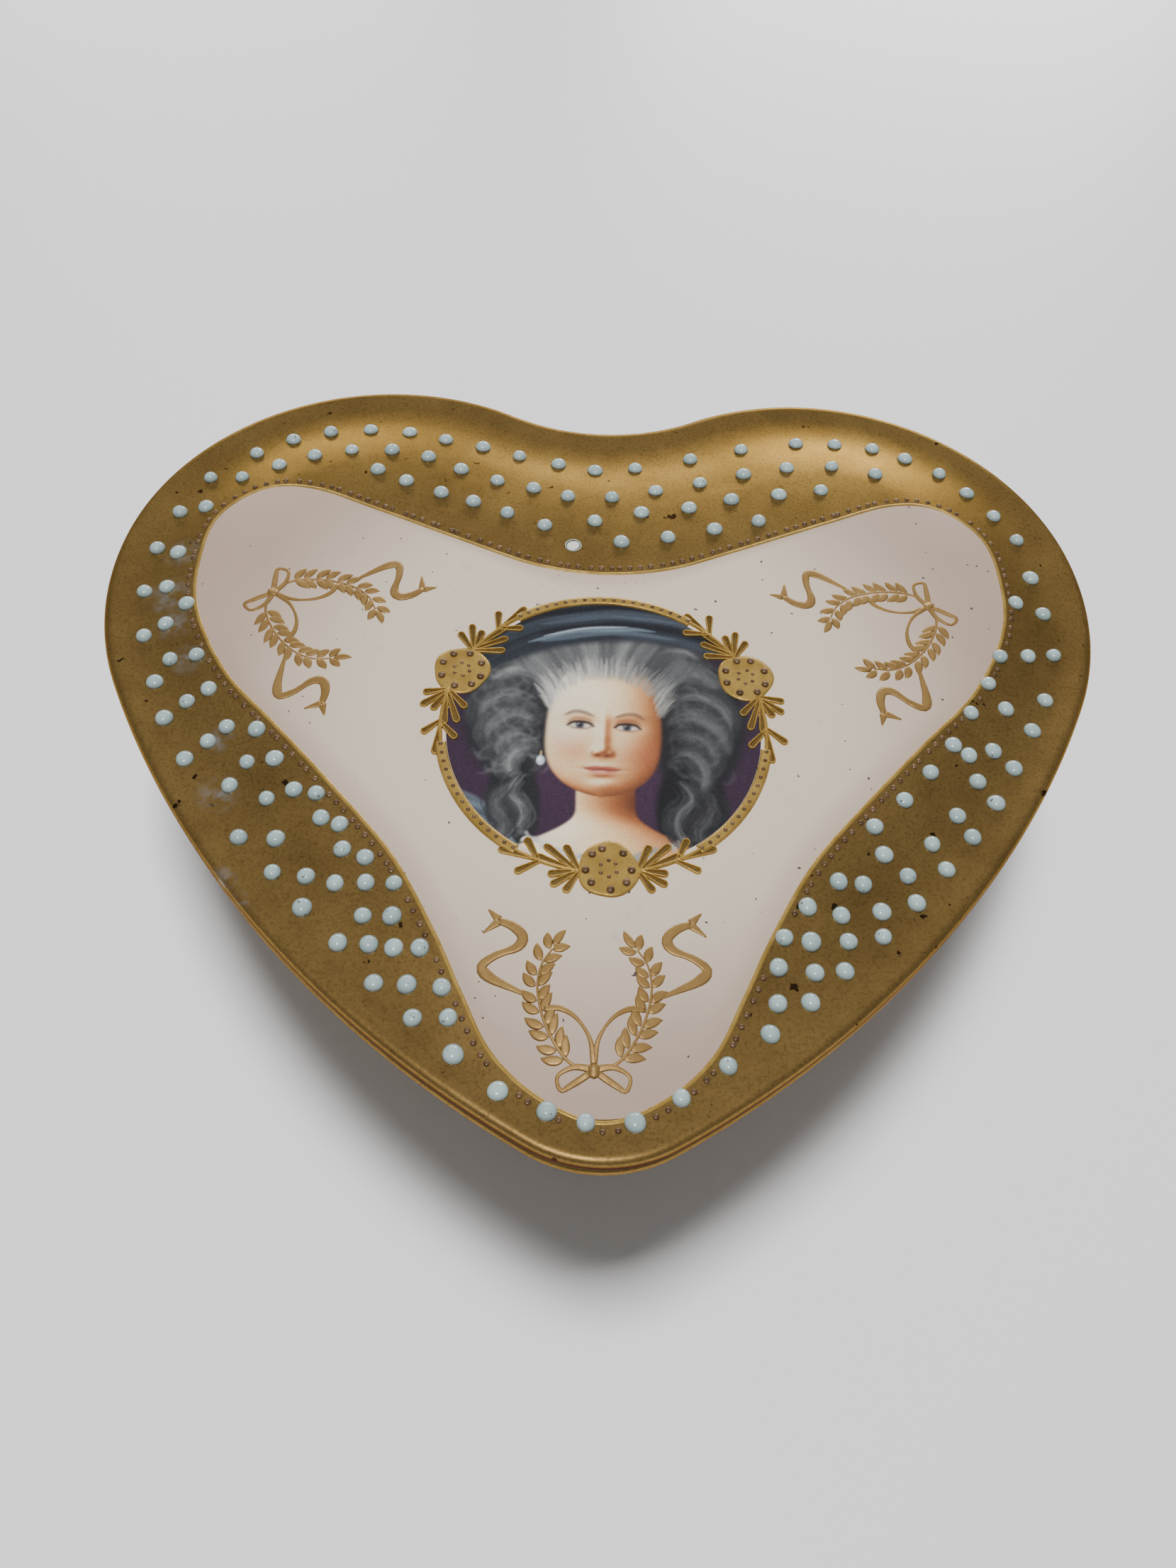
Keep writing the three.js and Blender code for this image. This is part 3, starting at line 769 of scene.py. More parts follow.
# Rings of paste beads on a rosette: number, distance from its middle, and bead radius.
ROSETTE_BEADS = [(8, 2.2, 0.42), (6, 0.85, 0.22)]
# The leaves of a sprig, as sweep from the rosette, turn away from the medallion, and length.
SPRIG_LEAVES = [
    (9.5, 1.15, 2.7), (10, 0.7, 3.2), (10.5, 0.32, 2.6), (10.5, -0.55, 3.8), (9.5, -0.95, 3.2),
    (12, -0.2, 3.8), (23, 0.85, 2.5), (25, 0.12, 3.4), (23.5, -0.7, 2.7),
]
LEAF_WIDTH = 0.72
TRAIL_WIDTH = 0.25
TRAIL_HEIGHT = 0.24
BAND_WIDTH = 1.25
BAND_HEIGHT = 0.2
FRAME_BEAD_SPACING = 1.0


def on_orbit(radius, degrees):
    return MEDALLION + radius * facing(np.radians(degrees))


def rosette(side):
    """A flat gilt boss with a ring of eight paste beads and a small ring of six."""
    degrees = ROSETTE_ANGLES[side]
    centre = on_orbit(ROSETTE_ORBIT, degrees)
    angles = np.linspace(0, 2 * math.pi, ROSETTE_SIDES, endpoint=False)
    reach = ROSETTE_RADIUS * (1 + 0.03 * np.cos(3 * angles + degrees) + 0.02 * np.cos(5 * angles))
    outline = facing(angles) * reach[:, None]
    plan = np.vstack([centre + part * outline for part, _ in ROSETTE_ROWS] + [[centre]])
    lift = np.append(np.repeat([z for _, z in ROSETTE_ROWS], ROSETTE_SIDES), ROSETTE_HEIGHT)
    points = np.column_stack([plan, lid_height(plan) + lift])
    faces = grid_faces(len(ROSETTE_ROWS), ROSETTE_SIDES)
    last = (len(ROSETTE_ROWS) - 1) * ROSETTE_SIDES
    for i in range(ROSETTE_SIDES):
        faces.append([len(points) - 1, last + i, last + (i + 1) % ROSETTE_SIDES])
    faces.append(list(range(ROSETTE_SIDES))[::-1])
    lid_piece(f"rosette_{side}_boss", [(points, faces)], BRIGHT, [f"rosette_{side}"])
    beads = []
    for count, orbit, radius in ROSETTE_BEADS:
        turn = np.radians(degrees + 360 * np.arange(count) / count + rng.normal(0, 4, count))
        plan = centre + orbit * facing(turn)
        beads += domes_on_lid(plan, radius, radius * 0.8, lift=0.2, sides=12, rings=4)
    lid_piece(f"rosette_{side}_beads", beads, PASTE)


def hairpin(root, heading, length, width):
    """A narrow leaf drawn as a raised loop of paste, round at its tip, with a lower filling."""
    t = np.sin(np.linspace(0, math.pi / 2, 22))
    swell = (0.35 + 0.65 * t) * np.sqrt(np.clip(1 - np.maximum(0, (t - 0.86) / 0.14) ** 2, 0, 1))
    along = facing(heading)
    across = np.array([-along[1], along[0]])
    middle = root + np.outer(t * length, along)
    half = np.outer(swell * width / 2, across)
    loop = np.vstack([middle + half, (middle - half)[::-1][1:]])
    fill = line_part(middle, swell * width + 0.05, 0.07, power=6)
    return fill, line_part(loop, TRAIL_WIDTH, TRAIL_HEIGHT)


def sprig(degrees, way):
    """The laurel sprig on one side of a rosette, following the medallion's edge."""
    fills = []
    stem = on_orbit(BAND_ORBIT, degrees + way * np.linspace(9, SPRIG_SWEEP, 24))
    lines = [line_part(stem, 2 * TRAIL_WIDTH, TRAIL_HEIGHT)]
    for sweep, turn, length in SPRIG_LEAVES:
        at = degrees + way * sweep
        heading = math.radians(at + way * 90) - way * turn
        length *= rng.uniform(0.92, 1.08)
        fill, line = hairpin(on_orbit(BAND_ORBIT, at), heading, length, LEAF_WIDTH)
        fills.append(fill)
        lines.append(line)
    return fills, lines


def frame_arc(name, first, last):
    """One third of the raised frame: the beaded band and the sprigs at its ends."""
    band = np.linspace(first + SPRIG_SWEEP - 2, last - SPRIG_SWEEP + 2, 90)
    fills_a, lines_a = sprig(first, 1)
    fills_b, lines_b = sprig(last, -1)
    line = line_part(on_orbit(BAND_ORBIT, band), BAND_WIDTH, BAND_HEIGHT, power=5)
    lid_piece(f"frame_{name}_band", [line], BRIGHT, [f"frame_arc_{name}"])
    lid_piece(f"frame_{name}_sprigs", lines_a + lines_b, BRIGHT)
    lid_piece(f"frame_{name}_leaf_fill", fills_a + fills_b, GOLD)
    count = int(math.radians(band[-1] - band[0]) * BAND_ORBIT / FRAME_BEAD_SPACING)
    plan = on_orbit(BAND_ORBIT, np.linspace(band[0] + 1, band[-1] - 1, count))
    beads = domes_on_lid(plan, 0.24, 0.15, lift=0.18, sides=8, rings=3)
    lid_piece(f"frame_{name}_beads", beads, PASTE)


# ---------------------------------------------------------------- wreaths

# Where each bow lies, and how far its wreath is turned, in degrees.
WREATHS = {"left": (-36.4, 12.9, -121), "right": (36.4, 13.6, 122), "bottom": (-0.8, -39.7, 0)}
WREATH_STEM = [(0.6, 0.2), (2.2, 0.8), (3.7, 2.7), (4.7, 4.9), (5.2, 7.3), (4.9, 9.5), (3.9, 11.1)]
RIBBON_TAIL = [
    (5.4, 6.4), (7.4, 7.3), (9.6, 8.4), (10.4, 9.4), (9.2, 10.4), (7.2, 11.2), (6.7, 12.2),
    (7.6, 13.2), (9.0, 13.8),
]
RIBBON_WIDTHS = [0.35, 0.5, 0.8, 1.15, 0.85, 0.7, 1.15, 1.0, 0.7]
INNER_RIBBON = [(0, 0.6), (0.4, 2.8), (1.6, 4.6), (3.1, 5.5), (4.6, 5.5)]
BOW_LOOP = [(0.3, 0.2), (1.8, 0.35), (3.2, -0.4), (2.9, -1.6), (2.0, -1.2), (0.4, -0.2)]
RIBBON_FORK = [((9.0, 13.9), (10.0, 14.9)), ((9.0, 13.7), (10.4, 12.6))]
KNOT = [(-0.5, 0.0), (0.0, 0.05), (0.5, 0.0)]
KNOT_WIDTHS = [1.0, 1.5, 1.0]
LEAF_PAIRS = 10
LEAF_SPREAD = 0.74


def wreath_leaf(root, heading, length, width):
    """A pointed leaf that starts just off its stem."""
    t = np.linspace(0, 1, 11)
    along = facing(heading)
    across = np.array([-along[1], along[0]])
    bend = 0.08 * length * np.sin(np.pi * t)
    path = root + np.outer(0.22 + t * length, along) + np.outer(bend, across)
    return path, np.maximum(np.sin(np.pi * t**0.85) ** 0.8 * width, 0.02)


def wreath_lines(side):
    """Paths and widths of half a wreath, in its own frame."""
    stem = through([(side * x, y) for x, y in WREATH_STEM], 40)
    lines = [(stem, np.linspace(0.34, 0.2, 40))]
    for at in np.linspace(6, 38, LEAF_PAIRS).astype(int):
        ahead = stem[at + 1] - stem[at]
        heading = math.atan2(ahead[1], ahead[0])
        for spread in (-LEAF_SPREAD, LEAF_SPREAD):
            length = 2.1 - 0.012 * at + rng.normal(0, 0.06)
            lines.append(wreath_leaf(stem[at], heading + spread, length, 0.98))
    lines.append(wreath_leaf(stem[-1], heading, 2.0, 0.85))
    tail = through([(side * x, y) for x, y in RIBBON_TAIL], 40)
    steps = np.linspace(0, 1, len(RIBBON_WIDTHS))
    lines.append((tail, np.interp(np.linspace(0, 1, 40), steps, RIBBON_WIDTHS)))
    for points, width in ((INNER_RIBBON, 0.55), (BOW_LOOP, 0.62)):
        path = through([(side * x, y) for x, y in points], 30)
        lines.append((path, width * (0.85 + 0.25 * np.cos(np.linspace(0, 7, 30)))))
    for start, end in RIBBON_FORK:
        path = through([(side * start[0], start[1]), (side * end[0], end[1])], 8)
        lines.append((path, np.linspace(0.95, 0.2, 8)))
    return lines


def wreath(side):
    x, y, turn = WREATHS[side]
    cos, sin = facing(math.radians(turn))
    lines = wreath_lines(1) + wreath_lines(-1) + [(np.array(KNOT), np.array(KNOT_WIDTHS))]
    parts = []
    for i, (path, widths) in enumerate(lines):
        placed = np.array([x, y]) + path @ np.array([[cos, sin], [-sin, cos]])
        # each line lies a little above the last, so that no two faces share a place
        parts.append(line_part(placed, widths, 0.06 + 0.0012 * i, power=8, sink=0.02))
    lid_piece(f"wreath_{side}_gilt", parts, PRINTED, [f"wreath_{side}"])


# ---------------------------------------------------------------- portrait

# The picture is painted on a square of pixels: u runs right and v up, from -1 to 1. The
# face keeps the drawing-book proportions: three equal parts from hairline to chin, five
# eye widths across, and the mouth a third of the way from nose to chin.
PICTURE_SIZE = 400
CHIN = -0.52
FACE_THIRD = 0.293
NOSE_BASE = CHIN + FACE_THIRD
BROW = NOSE_BASE + FACE_THIRD
HAIRLINE = BROW + FACE_THIRD
FACE_HALF_WIDTH = 0.375
EYE_WIDTH = 2 * FACE_HALF_WIDTH / 5
EYE_LINE = BROW - 0.072
MOUTH = NOSE_BASE - (NOSE_BASE - CHIN) / 3
HEAD_TILT = math.radians(-2.5)
LIGHT = np.array([-0.42, 0.4, 0.81])


def ramp(value, stops):
    """Colours for values from 0 to 1, blended between (value, colour) stops."""
    places = [place for place, _ in stops]
    return np.stack([np.interp(value, places, [colour[k] for _, colour in stops]) for k in range(3)], -1)


def ease(value, low, high):
    t = np.clip((value - low) / (high - low), 0, 1)
    return t * t * (3 - 2 * t)


class Picture:
    """A painting that layers and strokes are laid on. Colours are as seen on a screen, 0 to 255."""

    def __init__(self, size, ground):
        line = np.linspace(-1, 1, size)
        self.size = size
        self.u, self.v = np.meshgrid(line, line)
        self.colour = np.ones((size, size, 3)) * np.array(ground, float)

    def lay(self, mask, colour):
        self.colour += (np.asarray(colour, float) - self.colour) * mask[..., None]

    def soften(self, passes):
        """Blends each place with its neighbours, as a soft brush would."""
        for _ in range(passes):
            around = np.pad(self.colour, ((1, 1), (1, 1), (0, 0)), mode="edge")
            rows = (around[:-2] + 2 * around[1:-1] + around[2:]) / 4
            self.colour = (rows[:, :-2] + 2 * rows[:, 1:-1] + rows[:, 2:]) / 4

    def blob(self, u, v, half_width, half_height, soft=0.4, turn=0.0):
        """A soft-edged ellipse as a mask."""
        cos, sin = math.cos(turn), math.sin(turn)
        du, dv = self.u - u, self.v - v
        reach = np.hypot((du * cos + dv * sin) / half_width, (dv * cos - du * sin) / half_height)
        return 1 - ease(reach, 1 - soft, 1 + soft)

    def dab(self, place, half_width, half_height, soft, colour, strength, turn=0.0):
        """A soft-edged ellipse of colour."""
        self.lay(self.blob(*place, half_width, half_height, soft, turn) * strength, colour)

    def stroke(self, points, width, colour, strength=1.0, taper=0.8):
        """A brush stroke through points, thinner at its ends."""
        points = np.array(points, float)
        length = np.hypot(*np.diff(points, axis=0).T).sum()
        count = max(6, int(length / max(width * 0.35, 0.004)))
        path = through(points, count)
        swell = 1 - taper * np.abs(np.linspace(-1, 1, count)) ** 3
        pixel = 2 / (self.size - 1)
        reach = int(width / pixel) + 2
        column = ((path[:, 0] + 1) / pixel).astype(int)
        row = ((path[:, 1] + 1) / pixel).astype(int)
        left, low = max(column.min() - reach, 0), max(row.min() - reach, 0)
        right, high = min(column.max() + reach + 1, self.size), min(row.max() + reach + 1, self.size)
        if right <= left or high <= low:
            return
        mask = np.zeros((high - low, right - left))
        for (pu, pv), i, j, k in zip(path, column, row, swell):
            a, b = max(j - reach, low), min(j + reach + 1, high)
            c, d = max(i - reach, left), min(i + reach + 1, right)
            if a >= b or c >= d:
                continue
            gap = np.hypot(self.u[a:b, c:d] - pu, self.v[a:b, c:d] - pv)
            spot = 1 - ease(gap, width * k * 0.25, width * k * 0.75 + pixel * 0.5)
            window = mask[a - low:b - low, c - left:d - left]
            np.maximum(window, spot, out=window)
        patch = self.colour[low:high, left:right]
        patch += (np.array(colour, float) - patch) * (mask * strength)[..., None]


def tilt(points):
    """Turns face points by the head's tilt about the middle of the face."""
    cos, sin = facing(HEAD_TILT)
    return [(u * cos - v * sin, u * sin + v * cos) for u, v in points]


def tilted(u, v):
    return tilt([(u, v)])[0]


def face_coordinates(picture):
    cos, sin = facing(HEAD_TILT)
    return picture.u * cos + picture.v * sin, picture.v * cos - picture.u * sin


def face_form(u, v):
    """The face's relief and its outline, as an egg with soft features."""
    middle = -0.05
    below = np.clip((middle - v) / (middle - CHIN), 0, 1)
    above = np.clip((v - middle) / 0.62, 0, 1)
    half = FACE_HALF_WIDTH * (1 - below**2.9) ** 0.55 * (1 - above**2.2) ** 0.5
    across = u / np.maximum(half, 1e-3)
    round_across = np.sqrt(np.clip(1 - 0.86 * across**2, 0, 1))
    round_upward = np.sqrt(np.clip(1 - 0.8 * np.maximum(below, above) ** 2, 0, 1))
    relief = 0.2 * round_across * round_upward

    def lump(cu, cv, wide, high, rise):
        return rise * np.exp(-(((u - cu) / wide) ** 2) - ((v - cv) / high) ** 2)

    for cu, cv, wide, high, rise in [
        (0, EYE_LINE + 0.01, 0.03, 0.1, 0.022), (0, NOSE_BASE + 0.11, 0.034, 0.07, 0.036),
        (0, NOSE_BASE + 0.042, 0.046, 0.038, 0.055), (0, MOUTH + 0.022, 0.085, 0.018, 0.012),
        (0, MOUTH - 0.026, 0.07, 0.022, 0.017), (0, MOUTH, 0.11, 0.009, -0.01),
        (0, MOUTH - 0.068, 0.06, 0.022, -0.012), (0, CHIN + 0.075, 0.08, 0.05, 0.02),
    ]:
        relief = relief + lump(cu, cv, wide, high, rise)
    for side in (-1, 1):
        relief = relief + lump(side * 0.05, NOSE_BASE + 0.022, 0.024, 0.022, 0.022)
        relief = relief + lump(side * EYE_WIDTH, EYE_LINE + 0.012, 0.085, 0.045, -0.03)
        relief = relief + lump(side * EYE_WIDTH, EYE_LINE, 0.055, 0.035, 0.016)
        relief = relief + lump(side * 0.14, BROW + 0.02, 0.11, 0.035, 0.01)
        relief = relief + lump(side * 0.2, NOSE_BASE + 0.07, 0.1, 0.09, 0.016)
    return relief, across


def shade(relief, picture):
    """How brightly a relief is lit, from 0 to 1."""
    step = 2 / (picture.size - 1)
    slope_v, slope_u = np.gradient(relief, step)
    normal = np.stack([-slope_u, -slope_v, np.ones_like(relief)], -1)
    normal /= np.linalg.norm(normal, axis=-1)[..., None]
    return np.clip(normal @ (LIGHT / np.linalg.norm(LIGHT)), 0, 1)


SKIN = [(0, (92, 50, 32)), (0.35, (158, 96, 56)), (0.58, (212, 154, 102)), (0.8, (238, 204, 156)),
        (1, (248, 232, 202))]


def paint_neck(picture):
    """The neck and shoulders, darker under the chin."""
    u, v = picture.u, picture.v
    slope = ease(-v, 0.6, 0.98)
    half = 0.185 + 0.5 * slope**1.3
    inside = (1 - ease(np.abs(u - 0.01) / half, 0.93, 1.04)) * (1 - ease(v, CHIN + 0.1, CHIN + 0.2))
    light = 0.8 - 0.34 * (u / half) - 0.12 * np.abs(u / half) ** 2 + 0.05 * slope
    under_chin = picture.blob(0.06, CHIN - 0.03, 0.26, 0.12, 0.75)
    light = light - 0.36 * under_chin
    picture.lay(inside, ramp(np.clip(light, 0, 1), SKIN))


def paint_face(picture):
    u, v = face_coordinates(picture)
    relief, across = face_form(u, v)
    lit = shade(relief, picture)
    inside = 1 - ease(np.abs(across), 0.93, 1.03)
    inside = inside * (v > CHIN - 0.01) * (1 - ease(v, HAIRLINE - 0.02, HAIRLINE + 0.09))
    light = 0.24 + 0.78 * lit**1.4 - 0.14 * ease(u, 0.05, 0.36) - 0.08 * ease(-v, 0.36, 0.54)
    picture.lay(inside, ramp(np.clip(light, 0, 1), SKIN))
    for side in (-1, 1):
        cheek = tilted(side * 0.215, NOSE_BASE + 0.045)
        picture.dab(cheek, 0.1, 0.085, 0.9, (222, 124, 92), inside * 0.3)
    picture.dab(tilted(-0.06, BROW + 0.15), 0.17, 0.11, 0.9, (252, 242, 220), inside * 0.45)


def paint_eye(picture, side):
    cu, cv = side * EYE_WIDTH, EYE_LINE
    u, v = face_coordinates(picture)
    du = (u - cu) / (EYE_WIDTH * 0.54)
    arch = np.sqrt(np.clip(1 - du**2, 0, 1))
    opening = ease(v, cv - 0.021 * arch - 0.004, cv - 0.021 * arch + 0.004)
    opening = opening * (1 - ease(v, cv + 0.03 * arch - 0.004, cv + 0.03 * arch + 0.004)) * (np.abs(du) < 1)
    picture.lay(opening * 0.85, (214, 204, 190))
    ball = np.hypot(u - cu + 0.004, v - cv - 0.004)
    picture.lay(opening * (1 - ease(ball, 0.024, 0.032)), (78, 84, 96))
    picture.lay(opening * (1 - ease(ball, 0.009, 0.016)), (20, 18, 20))
    picture.lay(opening * (1 - ease(np.hypot(u - cu + 0.013, v - cv - 0.014), 0.003, 0.008)), (250, 250, 245))
    spread = np.linspace(-1, 1, 7)
    wide = EYE_WIDTH * 0.56
    lid = [(cu + k * wide, cv + 0.032 * math.sqrt(max(0, 1 - k * k)) - 0.002) for k in spread]
    crease = [(cu + k * wide * 1.04, cv + 0.018 + 0.038 * math.sqrt(max(0, 1 - k * k))) for k in spread]
    lower = [(cu + k * wide * 0.95, cv - 0.023 * math.sqrt(max(0, 1 - k * k))) for k in spread]
    picture.stroke(tilt(lid), 0.02, (44, 30, 28), 0.95, 0.45)
    picture.stroke(tilt(crease), 0.013, (128, 82, 58), 0.55)
    picture.stroke(tilt(lower), 0.009, (122, 78, 60), 0.7)
    brow_points = [(-0.08, 0.004), (-0.02, 0.03), (0.045, 0.034), (0.105, 0.002)]
    brow = [(cu + side * out, BROW + up) for out, up in brow_points]
    picture.stroke(tilt(brow), 0.026, (96, 70, 58), 0.62, 0.7)


def paint_nose_and_mouth(picture):
    for side in (-1, 1):
        nostril = tilted(side * 0.03, NOSE_BASE + 0.004)
        picture.dab(nostril, 0.017, 0.009, 0.5, (96, 46, 34), 0.8, side * 0.3)
        wing_points = [(0.06, 0.04), (0.071, 0.018), (0.052, 0)]
        wing = [(side * out, NOSE_BASE + up) for out, up in wing_points]
        picture.stroke(tilt(wing), 0.01, (150, 88, 58), 0.55)
    bridge = [(0.024, BROW - 0.03), (0.034, NOSE_BASE + 0.13), (0.05, NOSE_BASE + 0.05)]
    picture.stroke(tilt(bridge), 0.03, (186, 124, 82), 0.38)
    u, v = face_coordinates(picture)
    half = EYE_WIDTH * 0.8
    reach = np.clip(1 - (u / half) ** 2, 0, 1)
    dip = 0.008 * np.exp(-((u / 0.022) ** 2))
    top = MOUTH + 0.031 * reach - dip
    bottom = MOUTH - 0.046 * reach**1.2
    upper = (v > MOUTH) * (1 - ease(v, top - 0.006, top + 0.004))
    lower = (v <= MOUTH) * ease(v, bottom - 0.004, bottom + 0.008)
    picture.lay(upper * (reach > 0) * 0.72, (178, 88, 74))
    picture.lay(lower * (reach > 0) * 0.66, (206, 116, 98))
    picture.dab(tilted(-0.012, MOUTH - 0.024), 0.045, 0.01, 0.8, (240, 176, 152), 0.5)
    line_points = [(-half, 0.004), (-0.05, -0.004), (0, 0), (0.05, -0.004), (half, 0.004)]
    line = [(u, MOUTH + up) for u, up in line_points]
    picture.stroke(tilt(line), 0.011, (104, 42, 38), 0.85)


def lerp(a, b, t):
    return tuple(x + (y - x) * t for x, y in zip(a, b))


# Rolled curls of powdered hair: a run of points through each one, its width, and its light.
CURLS = [
    ([(-0.3, 0.5), (-0.46, 0.6), (-0.6, 0.5), (-0.62, 0.36)], 0.24, 0.62),
    ([(-0.34, 0.3), (-0.52, 0.44), (-0.7, 0.36), (-0.74, 0.18)], 0.26, 0.8),
    ([(-0.4, 0.16), (-0.58, 0.26), (-0.78, 0.14), (-0.76, -0.06)], 0.24, 0.66),
    ([(-0.4, 0.02), (-0.56, 0.1), (-0.72, -0.04), (-0.7, -0.2)], 0.22, 0.84),
    ([(-0.42, -0.1), (-0.54, -0.04), (-0.66, -0.16), (-0.62, -0.3)], 0.2, 0.62),
    ([(-0.42, -0.22), (-0.5, -0.16), (-0.6, -0.28), (-0.56, -0.42)], 0.18, 0.72),
    ([(0.3, 0.5), (0.46, 0.6), (0.6, 0.5), (0.64, 0.34)], 0.24, 0.6),
    ([(0.34, 0.3), (0.54, 0.42), (0.7, 0.34), (0.76, 0.14)], 0.26, 0.58),
    ([(0.4, 0.16), (0.6, 0.24), (0.78, 0.1), (0.76, -0.1)], 0.24, 0.46),
    ([(0.4, 0.02), (0.56, 0.08), (0.72, -0.06), (0.7, -0.24)], 0.22, 0.52),
    ([(0.42, -0.12), (0.54, -0.06), (0.68, -0.2), (0.64, -0.36)], 0.2, 0.4),
    ([(0.42, -0.24), (0.52, -0.2), (0.62, -0.34), (0.56, -0.5)], 0.18, 0.42),
]
# Long locks that hang in waves to the shoulders.
HANGING_LOCKS = [
    ([(-0.5, -0.36), (-0.58, -0.5), (-0.48, -0.64), (-0.56, -0.8)], 0.15, 0.6),
    ([(-0.58, -0.44), (-0.68, -0.58), (-0.6, -0.72), (-0.7, -0.86)], 0.14, 0.44),
    ([(0.44, -0.36), (0.54, -0.52), (0.42, -0.68), (0.52, -0.86)], 0.17, 0.36),
    ([(0.58, -0.42), (0.68, -0.58), (0.56, -0.74), (0.66, -0.92)], 0.17, 0.28),
]
# The hair combed up from the forehead, from a first guide to a last one.
COMBED = [
    ([(-0.33, 0.18), (-0.44, 0.36), (-0.54, 0.5)], [(-0.1, 0.37), (-0.17, 0.58), (-0.26, 0.76)], 90, 0.8),
    ([(-0.12, 0.37), (-0.18, 0.58), (-0.26, 0.76)], [(0.12, 0.37), (0.18, 0.58), (0.28, 0.76)], 90, 0.86),
    ([(0.1, 0.37), (0.17, 0.58), (0.28, 0.76)], [(0.33, 0.18), (0.46, 0.34), (0.58, 0.48)], 90, 0.62),
]
# The dark hair under the curls: middle, half width, half height, turn and grey of each mass.
HAIR_MASSES = [
    (0.0, 0.34, 0.7, 0.46, 0, 50), (-0.6, 0.04, 0.28, 0.46, 0.1, 44),
    (0.6, 0.02, 0.29, 0.5, -0.1, 32), (-0.56, -0.6, 0.17, 0.34, 0.0, 32),
    (0.54, -0.62, 0.22, 0.38, 0.0, 20),
]
HAIR_DARK = (26, 27, 31)
HAIR_LIGHT = (214, 216, 213)


def paint_hair_mass(picture):
    for u, v, wide, high, turn, grey in HAIR_MASSES:
        picture.dab((u, v), wide, high, 0.12, (grey, grey + 1, grey + 4), 1, turn)


def paint_curl(picture, points, width, glow, draw, strands=34):
    """One rolled curl: strands side by side, lit along its crown."""
    path = through(points, 14)
    ahead = np.gradient(path, axis=0)
    ahead /= np.hypot(*ahead.T)[:, None]
    across = np.column_stack([-ahead[:, 1], ahead[:, 0]])
    swell = 0.55 + 0.45 * np.sin(np.linspace(0.1, 1, 14) * np.pi)
    for k in draw.permutation(strands):
        place = (k + draw.uniform(-0.8, 0.8)) / (strands - 1) - 0.5
        offset = place * width * swell + draw.normal(0, 0.006)
        crown = math.exp(-((place - 0.06) / 0.24) ** 2)
        light = glow * (0.3 + 0.75 * crown) * draw.uniform(0.45, 1.05)
        line = path + across * offset[:, None]
        start = draw.integers(0, 4)
        colour = lerp(HAIR_DARK, HAIR_LIGHT, min(light, 1))
        picture.stroke(line[start::3], draw.uniform(0.008, 0.018), colour, draw.uniform(0.5, 0.85))


def paint_curls(picture):
    draw = np.random.default_rng(5)
    for points, width, glow in CURLS:
        shadow = through(points, 9)
        for u, v in shadow[::2]:
            picture.dab((u, v), width * 0.62, width * 0.62, 0.5, HAIR_DARK, 0.35)
        paint_curl(picture, points, width, glow, draw)
    for _ in range(300):
        side = draw.choice([-1, 1])
        middle = np.array([side * draw.uniform(0.42, 0.78), draw.uniform(-0.34, 0.56)])
        first = draw.uniform(0, 2 * math.pi)
        angles = first + np.linspace(0, draw.uniform(1.0, 2.4), 5)
        ring = middle + draw.uniform(0.03, 0.1) * facing(angles)
        grey = (0.58 if side < 0 else 0.44) * draw.uniform(0.4, 1.0)
        picture.stroke(ring, draw.uniform(0.01, 0.022), lerp(HAIR_DARK, HAIR_LIGHT, min(grey, 1)), 0.38)


def paint_combed_hair(picture):
    draw = np.random.default_rng(6)
    for first, last, count, glow in COMBED:
        for k in draw.permutation(count):
            t = float(np.clip((k + draw.normal(0, 0.8)) / count, 0, 1))
            drift = draw.normal(0, 0.016, 2)
            path = [tuple(np.array(lerp(a, b, t)) + drift) for a, b in zip(first, last)]
            wave = 0.5 + 0.5 * math.sin(t * 9 + draw.normal(0, 0.7))
            light = glow * (0.42 + 0.34 * wave) * draw.uniform(0.62, 1)
            colour = lerp(HAIR_DARK, HAIR_LIGHT, light)
            picture.stroke(path, draw.uniform(0.016, 0.04), colour, draw.uniform(0.3, 0.55))


def paint_hanging_locks(picture):
    draw = np.random.default_rng(8)
    for points, width, glow in HANGING_LOCKS:
        paint_curl(picture, points, width, glow, draw, 26)


def paint_soft_hairline(picture):
    """Fine pale hairs that soften the edge of the forehead."""
    draw = np.random.default_rng(3)
    for _ in range(330):
        angle = math.radians(draw.uniform(4, 176))
        reach = draw.uniform(0.96, 1.1)
        root = (0.345 * reach * math.cos(angle), 0.06 + 0.31 * reach * math.sin(angle))
        out = draw.uniform(0.05, 0.16)
        mid = (root[0] * (1 + out), root[1] + out * 0.75)
        tip = (root[0] * (1 + 2.2 * out), root[1] + out * 1.25)
        grey = draw.uniform(150, 226) - 34 * (math.cos(angle) > 0.2)
        picture.stroke(tilt([root, mid, tip]), 0.014, (grey, grey - 2, grey - 8), 0.26)


SCARF_FOLD = [(-0.86, 0.36), (-0.42, 0.62), (0.06, 0.71), (0.48, 0.66), (0.88, 0.5)]


